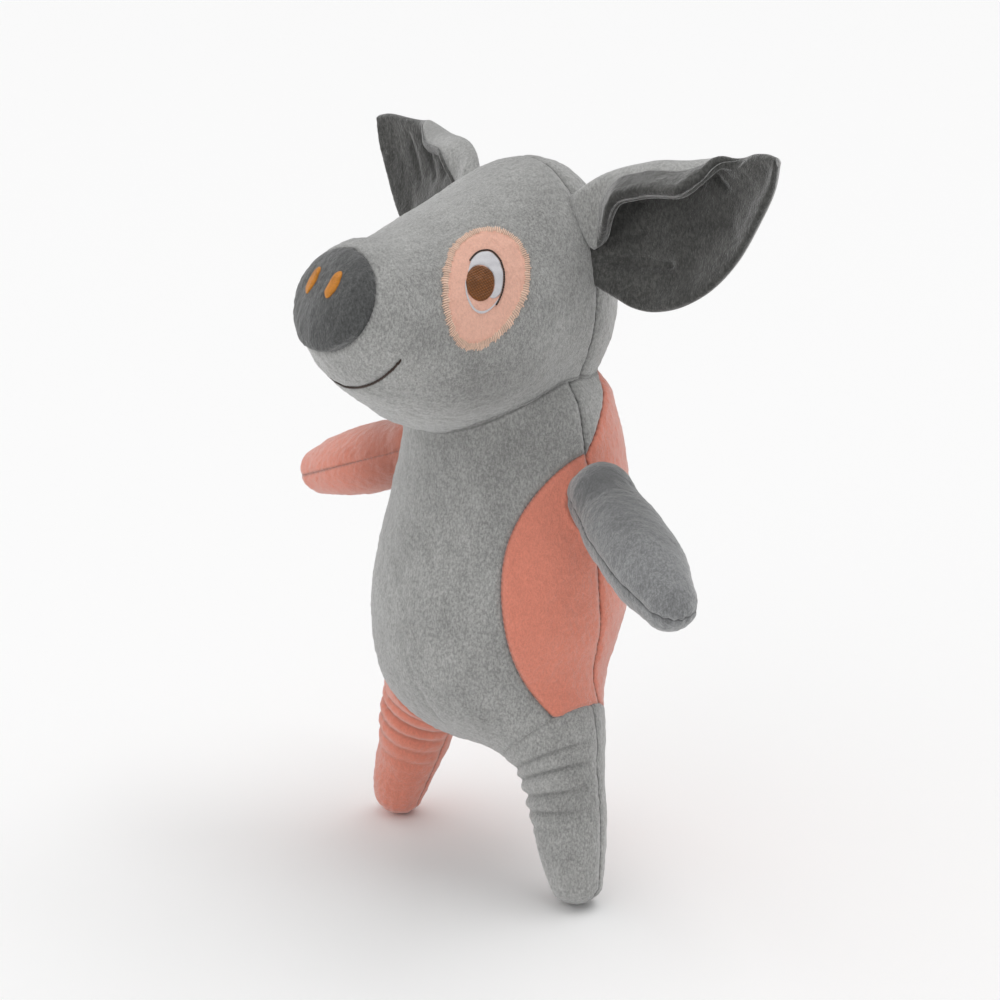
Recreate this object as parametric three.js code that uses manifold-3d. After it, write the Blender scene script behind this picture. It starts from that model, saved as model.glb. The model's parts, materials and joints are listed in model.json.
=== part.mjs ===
// Plush pig: a standing stuffed toy sewn from plush panels, with an embroidered face.
// Millimetres, +Z up. The pig looks along -Y and its left side is +X.
import * as THREE from 'three';
import { mergeVertices } from 'three/addons/utils/BufferGeometryUtils.js';
import Module from 'manifold-3d';

const wasm = await Module();
wasm.setup();

// Cloth, seams and thread
const plush = 1.6;
const seamGap = 0.3;
const threadHeight = 0.8;
const overrun = 900;

// Torso: a pear that is widest at the belly, leans back and closes under the head
const seatHeight = 53.5;
const torsoHeight = 164.5;
const torsoHalfWidth = 56.3;
const torsoHalfDepth = 52.2;
const torsoSway = 16.7;
// The seam down the middle of the back draws it in, and less towards the sides
const backDrawShare = 0.09;
const backDrawPower = 7;
// Each row: height, half width, half depth, and how far back the centre lies
const torsoShares = [
  [0, 0, 0, 0.3],
  [0.022, 0.42, 0.355, 0.3],
  [0.07, 0.68, 0.61, 0.31],
  [0.15, 0.87, 0.83, 0.35],
  [0.255, 0.95, 0.94, 0.39],
  [0.375, 1, 1, 0.56],
  [0.495, 0.97, 0.995, 0.74],
  [0.615, 0.92, 0.955, 0.94],
  [0.74, 0.85, 0.9, 1],
  [0.84, 0.79, 0.845, 0.95],
  [0.92, 0.71, 0.76, 0.91],
  [0.975, 0.49, 0.51, 0.86],
  [1, 0, 0, 0.86],
];

// Torso seams: down the sides, round the flank patch and along the shoulder yoke.
// A Rise is measured up from the seat or from the base of the head, a Drop down from the torso's top.
const sideSeamBack = 16.5;
const flankMiddleBack = 22;
const flankMiddleRise = 68.5;
const flankReach = 45.5;
const flankUpper = 61;
const flankLower = 50;
const yokeDrop = 36.5;
const yokeHeight = 20;
const yokeWidth = 18;

// Head: an egg that narrows to a turned-up snout
const headLength = 138;
const headBack = 57;
const neckSink = 31;
const headHeight = 108.5;
const headHalfWidth = 46.5;
const snoutLean = 0.35;
// Each row: distance from the back, half width, top, bottom, lean
const headShares = [
  [0, 0, 0.525, 0.525, 0],
  [0.022, 0.403, 0.76, 0.26, 0],
  [0.08, 0.688, 0.885, 0.125, 0],
  [0.174, 0.893, 0.975, 0.05, 0],
  [0.297, 0.952, 0.99, 0.02, 0],
  [0.435, 1, 0.907, 0.005, 0],
  [0.565, 0.979, 0.84, 0.018, 0],
  [0.681, 0.893, 0.79, 0.053, 0.05],
  [0.783, 0.753, 0.755, 0.134, 0.2],
  [0.862, 0.672, 0.757, 0.228, 0.5],
  [0.92, 0.545, 0.743, 0.367, 1],
  [0.964, 0.424, 0.708, 0.388, 0.9],
  [0.989, 0.23, 0.635, 0.45, 0.9],
  [1, 0, 0.543, 0.543, 0.9],
];
const noseSeamShare = 0.92;
const headSeamFromBack = 33.5;

// Ears: long leaves sewn into the seam between the face and the back of the head
const earLength = 89;
const earWidth = 56;
const earRootRise = 75.5;
const earRootHalfLength = 17.2;
const earBow = 9;
const earCup = 6;
const earOut = new THREE.Vector3(0.887, 0.19, 0.421).normalize();
const earSwing = THREE.MathUtils.degToRad(18);
// Each row: distance from the root over the length, top and bottom edge over the width
const earShares = [
  [-0.034, 0.32, -0.25],
  [0, 0.33, -0.31],
  [0.067, 0.357, -0.41],
  [0.146, 0.375, -0.527],
  [0.247, 0.366, -0.607],
  [0.382, 0.327, -0.64],
  [0.54, 0.282, -0.607],
  [0.697, 0.21, -0.5],
  [0.843, 0.129, -0.33],
  [0.944, 0.071, -0.188],
  [1, 0.014, -0.045],
];

// Arms: sausages that swell in the middle; the left one points further forward
const shoulderDrop = 52;
const shoulderForward = 3;
const shoulderStand = 8.2;
const armReach = 62;
const armRadius = 16.4;
const handRadius = 12.2;
const handLength = 14;
const armRootRadius = 13.7;
const armDrop = THREE.MathUtils.degToRad(19.5);
const leftArmTurn = THREE.MathUtils.degToRad(20);
const rightArmTurn = THREE.MathUtils.degToRad(7);
// Each row: distance from the shoulder over the reach, and how much of the swelling it has
const armSwellShares = [[0.12, 0.3], [0.33, 1], [0.6, 0.93], [0.82, 0.6]];

// Legs: tapering tubes that splay to the soles
const hipRise = 10;
const hipHalfSpan = 43.3;
const hipBack = 5.3;
const footHalfSpan = 61;
const legRootRadius = 18.5;
const footRadius = 12.8;
const footLength = 11;
const soleCut = 0.8;
const legSeamTurn = THREE.MathUtils.degToRad(15);
// Each row: distance from the hip over the length, and how much of the taper it has
const legTaperShares = [[0.12, 0.02], [0.3, 0.1], [0.5, 0.3], [0.72, 0.58], [0.88, 0.8]];

// Tail: a stuffed cord that curls once, sewn into the middle of the back
const tailRise = 38.5;
const tailRadius = 3.6;
const tailTipRadius = 2.2;
const tailStem = 6;
const tailStemShare = 0.25;
const curlRadius = 6.5;
const curlAdvance = 10;
const curlTurns = 1.15;

// Embroidery on the face
const nostrilRise = 67;
const nostrilHalfSpan = 6.6;
const nostrilWidth = 4.8;
const nostrilLength = 11;
const nostrilTilt = THREE.MathUtils.degToRad(12);
const mouthRise = 26.5;
const mouthRadius = 35;
const mouthSweep = THREE.MathUtils.degToRad(53);
const mouthWidth = 1.4;
const eyeFromBack = 86.2;
const eyeAngle = THREE.MathUtils.degToRad(31);
const eyeTilt = THREE.MathUtils.degToRad(20);
const eyeWidth = 14.5;
const eyeHeight = 25;
const eyeOutline = 1.5;
const irisWidth = 11;
const irisHeight = 14.2;
const irisForward = 1.4;
const irisDown = 1.2;
const patchWidth = 33;
const patchHeight = 50;
const patchTilt = THREE.MathUtils.degToRad(27);
const patchBack = 0.9;
const patchDown = 0.5;
const patchBorder = 2.7;
const patchNarrowShare = 0.12;

// Facets
const torsoFacets = { rings: 12, sides: 20 };
const headFacets = { rings: 14, sides: 20 };
const limbFacets = { rings: 9, sides: 10 };
const ballFacets = { around: 14, down: 8 };
const tailFacets = { steps: 14, sides: 7 };
const earFacets = 5;
const stitchFacets = 16;
const rootRows = 3;

const upward = new THREE.Vector3(0, 0, 1);
const forward = new THREE.Vector3(0, -1, 0);
const leftward = new THREE.Vector3(1, 0, 0);
const centre = new THREE.Vector3();

// Solids from triangles, and triangles back from solids
function solidOf(geometry) {
  const bare = geometry.clone();
  bare.deleteAttribute('normal');
  bare.deleteAttribute('uv');
  const merged = mergeVertices(bare, 1e-5);
  const triVerts = new Uint32Array(merged.index.array);
  const vertProperties = new Float32Array(merged.attributes.position.array);
  const made = new wasm.Manifold(new wasm.Mesh({ numProp: 3, vertProperties, triVerts }));
  if (made.volume() > 0) return made;
  for (let i = 0; i < triVerts.length; i += 3) {
    [triVerts[i + 1], triVerts[i + 2]] = [triVerts[i + 2], triVerts[i + 1]];
  }
  return new wasm.Manifold(new wasm.Mesh({ numProp: 3, vertProperties, triVerts }));
}

function geometryOf(solid) {
  const { vertProperties, triVerts } = solid.getMesh();
  const geometry = new THREE.BufferGeometry();
  geometry.setAttribute('position', new THREE.BufferAttribute(vertProperties, 3));
  geometry.setIndex(new THREE.BufferAttribute(triVerts, 1));
  geometry.computeVertexNormals();
  return geometry;
}

// The larger of the bodies that a cut leaves
function mainBody(solid) {
  const bodies = solid.decompose();
  return bodies.reduce((best, body) => (body.volume() > best.volume() ? body : best));
}

// Everything on the side of a plane that its normal points to
function halfSpace(point, normal) {
  const block = new THREE.BoxGeometry(overrun, overrun, overrun);
  block.translate(0, 0, overrun / 2);
  const turn = new THREE.Quaternion().setFromUnitVectors(upward, normal.clone().normalize());
  block.applyQuaternion(turn).translate(point.x, point.y, point.z);
  return solidOf(block);
}

// The two parts of a solid on either side of a seam plane, half a seam gap clear of it
function splitAt(solid, point, normal) {
  const step = normal.clone().normalize().multiplyScalar(seamGap / 2);
  const ahead = halfSpace(point.clone().add(step), normal);
  const behind = halfSpace(point.clone().sub(step), normal.clone().negate());
  return [solid.intersect(ahead), solid.intersect(behind)];
}

// A smooth value between the rows of a table that starts and ends at a pole
function between(rows, u, mirror) {
  const last = rows.length - 1;
  const i = Math.min(Math.floor(u), last - 1);
  const f = u - i;
  const before = i > 0 ? rows[i - 1] : mirror(rows[1]);
  const after = i < last - 1 ? rows[i + 2] : mirror(rows[last - 1]);
  return rows[i].map((p1, k) => {
    const [p0, p2, p3] = [before[k], rows[i + 1][k], after[k]];
    const bend = 2 * p0 - 5 * p1 + 4 * p2 - p3;
    const twist = 3 * p1 - p0 - 3 * p2 + p3;
    return p1 + 0.5 * f * (p2 - p0 + f * (bend + f * twist));
  });
}

// A closed skin through rings of points, with a pole at each end
class Form {
  constructor({ rows, mirror, place, facets }) {
    Object.assign(this, { rows, mirror, place, facets });
    this.last = rows.length - 1;
  }

  point(u, t) {
    return this.place(between(this.rows, u, this.mirror), t);
  }

  normal(u, t) {
    const du = 1e-3;
    const inner = THREE.MathUtils.clamp(u, du, this.last - du);
    const along = this.point(inner + du, t).sub(this.point(inner - du, t));
    const around = this.point(inner, t + du).sub(this.point(inner, t - du));
    const out = around.cross(along).normalize();
    const heart = this.point(inner, t).add(this.point(inner, t + Math.PI)).multiplyScalar(0.5);
    return out.dot(this.point(inner, t).sub(heart)) < 0 ? out.negate() : out;
  }

  // The end of the form at a pole, and the way it looks
  pole(u) {
    const step = u === 0 ? 0.05 : -0.05;
    const tip = this.point(u, 0);
    const heart = this.point(u + step, 0).add(this.point(u + step, Math.PI)).multiplyScalar(0.5);
    return { tip, out: tip.clone().sub(heart).normalize() };
  }

  solid(grow = 0) {
    const { rings, sides } = this.facets;
    const positions = [];
    const index = [];
    for (let r = 1; r < rings; r += 1) {
      const u = (r / rings) * this.last;
      for (let s = 0; s < sides; s += 1) {
        const t = (s / sides) * 2 * Math.PI;
        positions.push(...this.point(u, t).addScaledVector(this.normal(u, t), grow));
      }
    }
    for (let r = 0; r < rings - 2; r += 1) {
      for (let s = 0; s < sides; s += 1) {
        const next = (s + 1) % sides;
        const [a, b] = [r * sides + s, r * sides + next];
        index.push(a, b, a + sides, b, b + sides, a + sides);
      }
    }
    for (const [u, first] of [[0, 0], [this.last, (rings - 2) * sides]]) {
      const { tip, out } = this.pole(u);
      const top = positions.length / 3;
      positions.push(...tip.addScaledVector(out, grow));
      for (let s = 0; s < sides; s += 1) {
        const [a, b] = [first + s, first + ((s + 1) % sides)];
        index.push(...(u === 0 ? [top, b, a] : [top, a, b]));
      }
    }
    const geometry = new THREE.BufferGeometry();
    geometry.setAttribute('position', new THREE.Float32BufferAttribute(positions, 3));
    geometry.setIndex(index);
    return solidOf(geometry);
  }

  // Where along the table the first column reaches a value
  reach(value) {
    const rising = this.rows[this.last][0] > this.rows[0][0];
    let [low, high] = [0, this.last];
    for (let i = 0; i < 40; i += 1) {
      const middle = (low + high) / 2;
      const short = between(this.rows, middle, this.mirror)[0] < value;
      if (short === rising) low = middle;
      else high = middle;
    }
    return (low + high) / 2;
  }
}

const torso = new Form({
  rows: torsoShares.map(([height, wide, deep, sway]) => [
    seatHeight + height * torsoHeight, wide * torsoHalfWidth, deep * torsoHalfDepth, sway * torsoSway]),
  mirror: ([height, wide, deep, sway]) => [height, -wide, -deep, sway],
  place: ([height, wide, deep, sway], t) => {
    const drawn = 1 - backDrawShare * Math.max(0, Math.sin(t)) ** backDrawPower;
    return new THREE.Vector3(wide * Math.cos(t), sway + deep * drawn * Math.sin(t), height);
  },
  facets: torsoFacets,
});

const torsoTop = seatHeight + torsoHeight;
const headBase = torsoTop - neckSink;
const headSeamBack = headBack - headSeamFromBack;
const head = new Form({
  rows: headShares.map(([along, wide, top, bottom, lean]) => [
    headBack - along * headLength,
    wide * headHalfWidth,
    headBase + top * headHeight,
    headBase + bottom * headHeight,
    lean * snoutLean,
  ]),
  mirror: ([along, wide, top, bottom, lean]) => [along, -wide, bottom, top, lean],
  place: ([along, wide, top, bottom, lean], t) => {
    const rise = ((top - bottom) / 2) * Math.sin(t);
    return new THREE.Vector3(wide * Math.cos(t), along + lean * rise, (top + bottom) / 2 + rise);
  },
  facets: headFacets,
});

// A stuffed limb: a ball at its root, a swelling or tapering length and a rounded end.
// Its two halves meet on a plane through its length that turns one half towards facing.
function limb({ root, out, aside, facing, rootRadius, endRadius, endLength, length, swell }) {
  const rows = [];
  for (let i = 0; i <= rootRows; i += 1) {
    const a = (i / rootRows) * (Math.PI / 2);
    rows.push([-rootRadius * Math.cos(a), rootRadius * Math.sin(a)]);
  }
  for (const [along, radius] of swell) rows.push([along * length, radius]);
  for (let i = rootRows; i >= 0; i -= 1) {
    const a = (i / rootRows) * (Math.PI / 2);
    rows.push([length + endLength * Math.cos(a), endRadius * Math.sin(a)]);
  }
  const across = aside.clone().addScaledVector(out, -aside.dot(out)).normalize();
  const third = out.clone().cross(across);
  const form = new Form({
    rows,
    mirror: ([along, radius]) => [along, -radius],
    place: ([along, radius], t) => root.clone().addScaledVector(out, along)
      .addScaledVector(across, radius * Math.cos(t)).addScaledVector(third, radius * Math.sin(t)),
    facets: limbFacets,
  });
  const seam = third.clone().multiplyScalar(Math.sign(third.dot(facing)));
  return { form, root, seam };
}

function arm(side, turn) {
  const height = torsoTop - shoulderDrop;
  const surface = torso.point(torso.reach(height), 0);
  const root = new THREE.Vector3(
    side * (surface.x + shoulderStand), surface.y - shoulderForward, height);
  const across = Math.cos(armDrop);
  const out = new THREE.Vector3(
    side * Math.cos(turn) * across, -Math.sin(turn) * across, -Math.sin(armDrop));
  const swell = armSwellShares.map(([along, share]) => {
    const base = THREE.MathUtils.lerp(armRootRadius, handRadius, along);
    return [along, base + share * (armRadius - base)];
  });
  const aside = new THREE.Vector3(-side * Math.sin(turn), -Math.cos(turn), 0);
  return limb({
    root, out, swell, aside, facing: upward, length: armReach,
    rootRadius: armRootRadius, endRadius: handRadius, endLength: handLength,
  });
}

function leg(side) {
  const root = new THREE.Vector3(side * hipHalfSpan, hipBack, seatHeight + hipRise);
  const out = new THREE.Vector3(side * footHalfSpan, 0, 0).sub(root).normalize();
  const swell = legTaperShares.map(([along, share]) => (
    [along, THREE.MathUtils.lerp(legRootRadius, footRadius, share)]));
  const aside = new THREE.Vector3(Math.cos(legSeamTurn), Math.sin(legSeamTurn), 0);
  const reaching = (length) => limb({
    root, out, swell, aside, facing: forward, length,
    rootRadius: legRootRadius, endRadius: footRadius, endLength: footLength,
  });
  // The foot reaches below the floor by the depth of the sole's cut
  const trial = root.z / -out.z;
  const lowest = reaching(trial).form.solid().boundingBox().min[2];
  return reaching(trial + (lowest + soleCut) / -out.z);
}

// A faceted ball whose flats, not its corners, lie at the radius
function ball(middle, radius) {
  const { around, down } = ballFacets;
  const corners = radius / (Math.cos(Math.PI / around) * Math.cos(Math.PI / (2 * down)));
  const sphere = new THREE.SphereGeometry(corners, around, down);
  return solidOf(sphere.translate(middle.x, middle.y, middle.z));
}

const arms = { left: arm(1, leftArmTurn), right: arm(-1, rightArmTurn) };
const legs = { left: leg(1), right: leg(-1) };
const tailRoot = torso.point(torso.reach(seatHeight + tailRise), Math.PI / 2)
  .addScaledVector(forward, -tailRadius / 2);

// The sockets in the torso that the roots of the limbs and the tail turn in
const sockets = [
  ...Object.values(arms).map(({ root }) => ball(root, armRootRadius + seamGap)),
  ...Object.values(legs).map(({ root }) => ball(root, legRootRadius + seamGap)),
  ball(tailRoot, tailRadius + seamGap),
];
const withoutSockets = (solid) => sockets.reduce((rest, socket) => rest.subtract(socket), solid);

// Torso panels and filling
const torsoSkin = torso.solid();
const torsoCavity = torso.solid(-plush);
const seamPoint = new THREE.Vector3(0, sideSeamBack, 0);
const torsoCover = withoutSockets(torsoSkin.subtract(torsoCavity));
const [torsoFront, torsoBack] = splitAt(torsoCover, seamPoint, forward);

// A flat outline pushed sideways through the left half of the torso
function leftCutter(shape) {
  const prism = new THREE.ExtrudeGeometry(shape, { depth: overrun, bevelEnabled: false, curveSegments: 14 });
  const basis = new THREE.Matrix4().makeBasis(
    new THREE.Vector3(0, 1, 0), upward, new THREE.Vector3(1, 0, 0));
  return solidOf(prism.applyMatrix4(basis));
}

function flankOutline(grow) {
  const shape = new THREE.Shape();
  const [y, z] = [flankMiddleBack, seatHeight + flankMiddleRise];
  shape.absellipse(y, z, flankReach + grow, flankUpper + grow, 0, Math.PI);
  shape.absellipse(y, z, flankReach + grow, flankLower + grow, Math.PI, 2 * Math.PI);
  return leftCutter(shape);
}

function yokeOutline(grow) {
  const shape = new THREE.Shape();
  const slope = new THREE.Vector2(yokeWidth, yokeHeight).normalize();
  const corner = new THREE.Vector2(sideSeamBack + grow, torsoTop - yokeDrop - grow);
  const far = corner.clone().addScaledVector(slope, overrun / 2);
  shape.setFromPoints([corner, far, new THREE.Vector2(corner.x - overrun / 2, far.y)]);
  return leftCutter(shape);
}

const flankPatch = torsoFront.intersect(flankOutline(-seamGap / 2));
const bellyPanel = torsoFront.subtract(flankOutline(seamGap / 2));
const [backLeft, backRight] = splitAt(torsoBack, centre, leftward);
const shoulderYoke = backLeft.intersect(yokeOutline(-seamGap / 2));
const backPanelLeft = backLeft.subtract(yokeOutline(seamGap / 2));
const torsoStuffing = withoutSockets(torso.solid(-plush - seamGap));

// Head panels and filling, seated on the top of the torso
const torsoSeat = torso.solid(seamGap);
const headSkin = head.solid();
const headCover = headSkin.subtract(head.solid(-plush)).subtract(torsoSeat);
const [frontOfHead, headBackPanel] = splitAt(headCover, new THREE.Vector3(0, headSeamBack, 0), forward);
const noseRow = headShares.findIndex(([along]) => along === noseSeamShare);
const noseHeart = head.point(noseRow, 0).add(head.point(noseRow, Math.PI)).multiplyScalar(0.5);
const noseOut = new THREE.Vector3(0, -1, snoutLean).normalize();
const noseDepth = noseHeart.y - head.point(head.last, 0).y;
const [noseDisc, facePanel] = splitAt(frontOfHead, noseHeart, noseOut);
const headStuffing = head.solid(-plush - seamGap).subtract(torsoSeat);

// Embroidery: a raised layer over the cloth, cut to an outline that looks along the cloth's normal
const threadLayer = head.solid(seamGap + threadHeight).subtract(head.solid(seamGap));

function stitched(point, normal, shape, tilt = 0) {
  const depth = headHalfWidth / 3;
  const prism = new THREE.ExtrudeGeometry(shape, { depth, bevelEnabled: false, curveSegments: stitchFacets });
  prism.translate(0, 0, -depth / 2).rotateZ(tilt);
  const right = upward.clone().cross(normal).normalize();
  const basis = new THREE.Matrix4().makeBasis(right, normal.clone().cross(right), normal);
  return solidOf(prism.applyMatrix4(basis.setPosition(point)));
}

// An oval grown by a margin; its lower end may be narrower by a share
function oval({ width, height, narrowShare = 0, shift = [0, 0], turn = 0 }, grow = 0) {
  const points = [];
  for (let i = 0; i < stitchFacets; i += 1) {
    const a = (i / stitchFacets) * 2 * Math.PI;
    const x = (width / 2 + grow) * Math.cos(a) * (1 + narrowShare * Math.sin(a));
    const point = new THREE.Vector2(x, (height / 2 + grow) * Math.sin(a));
    points.push(point.rotateAround(new THREE.Vector2(), turn).add(new THREE.Vector2(...shift)));
  }
  return new THREE.Shape(points);
}

function nostril(side) {
  const y = noseHeart.y + forward.y * noseDepth / 2;
  const point = new THREE.Vector3(side * nostrilHalfSpan, y, headBase + nostrilRise);
  const outline = oval({ width: nostrilWidth, height: nostrilLength });
  return mainBody(threadLayer.intersect(stitched(point, noseOut, outline, -nostrilTilt)));
}

function mouth() {
  const shape = new THREE.Shape();
  const [start, end] = [-Math.PI / 2 - mouthSweep, -Math.PI / 2 + mouthSweep];
  const middle = headBase + mouthRise + mouthRadius;
  shape.absarc(0, middle, mouthRadius + mouthWidth / 2, start, end, false);
  shape.absarc(0, middle, mouthRadius - mouthWidth / 2, end, start, true);
  const prism = new THREE.ExtrudeGeometry(shape, {
    depth: overrun, bevelEnabled: false, curveSegments: stitchFacets,
  });
  prism.applyMatrix4(new THREE.Matrix4().makeBasis(leftward, upward, forward));
  return threadLayer.intersect(solidOf(prism));
}

function eye(side, patched) {
  const u = head.reach(headBack - eyeFromBack);
  const t = side > 0 ? eyeAngle : Math.PI - eyeAngle;
  const [point, normal] = [head.point(u, t), head.normal(u, t)];
  const cutter = (outline, grow) => stitched(point, normal, oval(outline, grow), -side * eyeTilt);
  const layer = (outline) => threadLayer.intersect(cutter(outline, 0));
  const round = (outline, hole) => mainBody(layer(outline).subtract(cutter(hole, seamGap)));
  const white = { width: eyeWidth, height: eyeHeight };
  const iris = { width: irisWidth, height: irisHeight, shift: [-side * irisForward, -irisDown] };
  const ring = {
    width: eyeWidth + 2 * seamGap + 2 * eyeOutline,
    height: eyeHeight + 2 * seamGap + 2 * eyeOutline,
    shift: [side * eyeOutline / 3, eyeOutline / 3],
  };
  const pieces = { iris: layer(iris), eye_white: round(white, iris), eye_outline: round(ring, white) };
  if (patched) {
    const border = {
      width: patchWidth,
      height: patchHeight,
      narrowShare: patchNarrowShare,
      shift: [side * patchBack, -patchDown],
      turn: -side * (patchTilt - eyeTilt),
    };
    const field = {
      ...border, width: patchWidth - 2 * patchBorder, height: patchHeight - 2 * patchBorder,
    };
    pieces.eye_patch = round(field, ring);
    pieces.eye_patch_border = round(border, field);
  }
  return pieces;
}

// Ears: two layers of cloth, cupped towards the front, clear of the head over their whole swing
const ears = {};
const headClear = head.solid(seamGap);
for (const [name, side] of [['left', 1], ['right', -1]]) {
  const flip = new THREE.Vector3(side, 1, 1);
  const u = head.reach(headSeamBack);
  const onSeam = (height) => {
    let [low, high] = [-Math.PI / 2, Math.PI / 2];
    for (let i = 0; i < 40; i += 1) {
      const middle = (low + high) / 2;
      if (head.point(u, middle).z < height) low = middle;
      else high = middle;
    }
    return head.point(u, (low + high) / 2).multiply(flip);
  };
  const bottom = onSeam(headBase + earRootRise - earRootHalfLength);
  const top = onSeam(headBase + earRootRise + earRootHalfLength);
  const root = bottom.clone().add(top).multiplyScalar(0.5);
  const axis = top.clone().sub(bottom).normalize();
  const out = earOut.clone().multiply(flip);
  const face = out.clone().cross(axis).multiplyScalar(side).normalize();
  const rows = earShares.map(([along, high, low]) => [along * earLength, high * earWidth, low * earWidth]);
  const surface = (row, across, lift) => {
    const [along, high, low] = row;
    const wide = THREE.MathUtils.lerp(low, high, across);
    const arch = Math.max(0, Math.sin((Math.PI * along) / earLength));
    const curl = arch * (earCup * (1 - across) ** 2 - earBow);
    return root.clone().addScaledVector(out, along).addScaledVector(axis, wide)
      .addScaledVector(face, curl + lift);
  };
  const layer = (low, high) => {
    const positions = [];
    const index = [];
    for (const lift of [low, high]) {
      for (const row of rows) {
        for (let i = 0; i <= earFacets; i += 1) positions.push(...surface(row, i / earFacets, lift));
      }
    }
    const wide = earFacets + 1;
    const sheet = rows.length * wide;
    const quad = (a, b, c, d) => index.push(a, b, c, a, c, d);
    for (let r = 0; r < rows.length - 1; r += 1) {
      for (let i = 0; i < earFacets; i += 1) {
        const a = r * wide + i;
        quad(a, a + 1, a + 1 + wide, a + wide);
        quad(a + sheet, a + sheet + wide, a + sheet + wide + 1, a + sheet + 1);
      }
      const [a, b] = [r * wide, r * wide + earFacets];
      quad(a, a + wide, a + wide + sheet, a + sheet);
      quad(b, b + sheet, b + wide + sheet, b + wide);
    }
    const end = (rows.length - 1) * wide;
    for (let i = 0; i < earFacets; i += 1) {
      quad(i, i + sheet, i + 1 + sheet, i + 1);
      quad(end + i, end + i + 1, end + i + 1 + sheet, end + i + sheet);
    }
    const geometry = new THREE.BufferGeometry();
    geometry.setAttribute('position', new THREE.Float32BufferAttribute(positions, 3));
    geometry.setIndex(index);
    return solidOf(geometry);
  };
  const swept = [-1, -0.5, 0, 0.5, 1].map((share) => {
    const turn = new THREE.Matrix4().makeTranslation(root)
      .multiply(new THREE.Matrix4().makeRotationAxis(axis, share * earSwing))
      .multiply(new THREE.Matrix4().makeTranslation(root.clone().negate()));
    return headClear.transform(turn.elements);
  });
  const clearOfHead = (solid) => mainBody(swept.reduce((rest, cut) => rest.subtract(cut), solid));
  ears[name] = {
    root, axis,
    inner: clearOfHead(layer(seamGap / 2, seamGap / 2 + plush)),
    outer: clearOfHead(layer(-seamGap / 2 - plush, -seamGap / 2)),
  };
}

// Limb covers in two halves round their filling
function limbPieces({ form, root, seam }, stands) {
  const trim = (solid) => (stands ? solid.intersect(halfSpace(centre, upward)) : solid);
  const cover = trim(form.solid()).subtract(form.solid(-plush));
  return { halves: splitAt(cover, root, seam), stuffing: form.solid(-plush - seamGap) };
}

// The tail's stem leaves the back and winds into a curl
class TailPath extends THREE.Curve {
  getPoint(t) {
    const bend = Math.max(0, t - tailStemShare) / (1 - tailStemShare);
    const a = bend * curlTurns * 2 * Math.PI;
    const y = Math.min(1, t / tailStemShare) * tailStem + bend * curlAdvance;
    return new THREE.Vector3(curlRadius * Math.sin(a), y, curlRadius * (1 - Math.cos(a)));
  }
}

function tail() {
  const path = new TailPath();
  const { steps, sides } = tailFacets;
  const positions = [];
  const index = [];
  const frames = path.computeFrenetFrames(steps, false);
  for (let i = 0; i <= steps; i += 1) {
    const radius = THREE.MathUtils.lerp(tailRadius, tailTipRadius, i / steps);
    const middle = path.getPointAt(i / steps).add(tailRoot);
    for (let s = 0; s < sides; s += 1) {
      const a = (s / sides) * 2 * Math.PI;
      positions.push(...middle.clone().addScaledVector(frames.normals[i], radius * Math.cos(a))
        .addScaledVector(frames.binormals[i], radius * Math.sin(a)));
    }
  }
  for (let i = 0; i < steps; i += 1) {
    for (let s = 0; s < sides; s += 1) {
      const [a, b] = [i * sides + s, i * sides + ((s + 1) % sides)];
      index.push(a, b, b + sides, a, b + sides, a + sides);
    }
  }
  for (const [ring, pole] of [[0, 0], [steps, 1]]) {
    const tip = positions.length / 3;
    const out = frames.tangents[ring].clone().multiplyScalar(pole ? tailTipRadius : -tailRadius);
    positions.push(...path.getPointAt(pole).add(tailRoot).addScaledVector(out, 0.5));
    for (let s = 0; s < sides; s += 1) {
      const [a, b] = [ring * sides + s, ring * sides + ((s + 1) % sides)];
      index.push(...(pole ? [tip, a, b] : [tip, b, a]));
    }
  }
  const geometry = new THREE.BufferGeometry();
  geometry.setAttribute('position', new THREE.Float32BufferAttribute(positions, 3));
  geometry.setIndex(index);
  return solidOf(geometry);
}

// Finishes
const cloth = (color) => new THREE.MeshStandardMaterial({ color, roughness: 0.95, metalness: 0 });
const thread = (color) => new THREE.MeshStandardMaterial({ color, roughness: 0.55, metalness: 0 });
const greyPlush = cloth(0x8b9296);
const darkPlush = cloth(0x50565b);
const armPlush = cloth(0x656c71);
const pinkPlush = cloth(0xe08a7c);
const fibre = cloth(0xf2efe8);
const orangeThread = thread(0xc88a45);
const whiteThread = thread(0xe9e9ec);
const brownThread = thread(0x6b4527);
const darkThread = thread(0x3a2f2c);
const pinkThread = thread(0xeab19c);

const pig = new THREE.Group();

function add(parent, name, solid, material) {
  const mesh = new THREE.Mesh(geometryOf(solid), material);
  mesh.geometry.translate(-parent.position.x, -parent.position.y, -parent.position.z);
  mesh.name = name;
  parent.add(mesh);
}

// A group whose origin is the pivot of a moving body
function pivot(point) {
  const group = new THREE.Group();
  group.position.copy(point);
  pig.add(group);
  return group;
}

const body = pivot(centre);
add(body, 'belly_panel', bellyPanel, greyPlush);
add(body, 'flank_patch_left', flankPatch, pinkPlush);
add(body, 'back_panel_left', backPanelLeft, pinkPlush);
add(body, 'shoulder_yoke_left', shoulderYoke, greyPlush);
add(body, 'back_panel_right', backRight, greyPlush);
add(body, 'torso_stuffing', torsoStuffing, fibre);
add(body, 'face_panel', facePanel, greyPlush);
add(body, 'head_back_panel', headBackPanel, greyPlush);
add(body, 'nose_disc', noseDisc, darkPlush);
add(body, 'head_stuffing', headStuffing, fibre);
add(body, 'nostril_left', nostril(1), orangeThread);
add(body, 'nostril_right', nostril(-1), orangeThread);
add(body, 'mouth_stitch', mouth(), darkThread);

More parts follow.
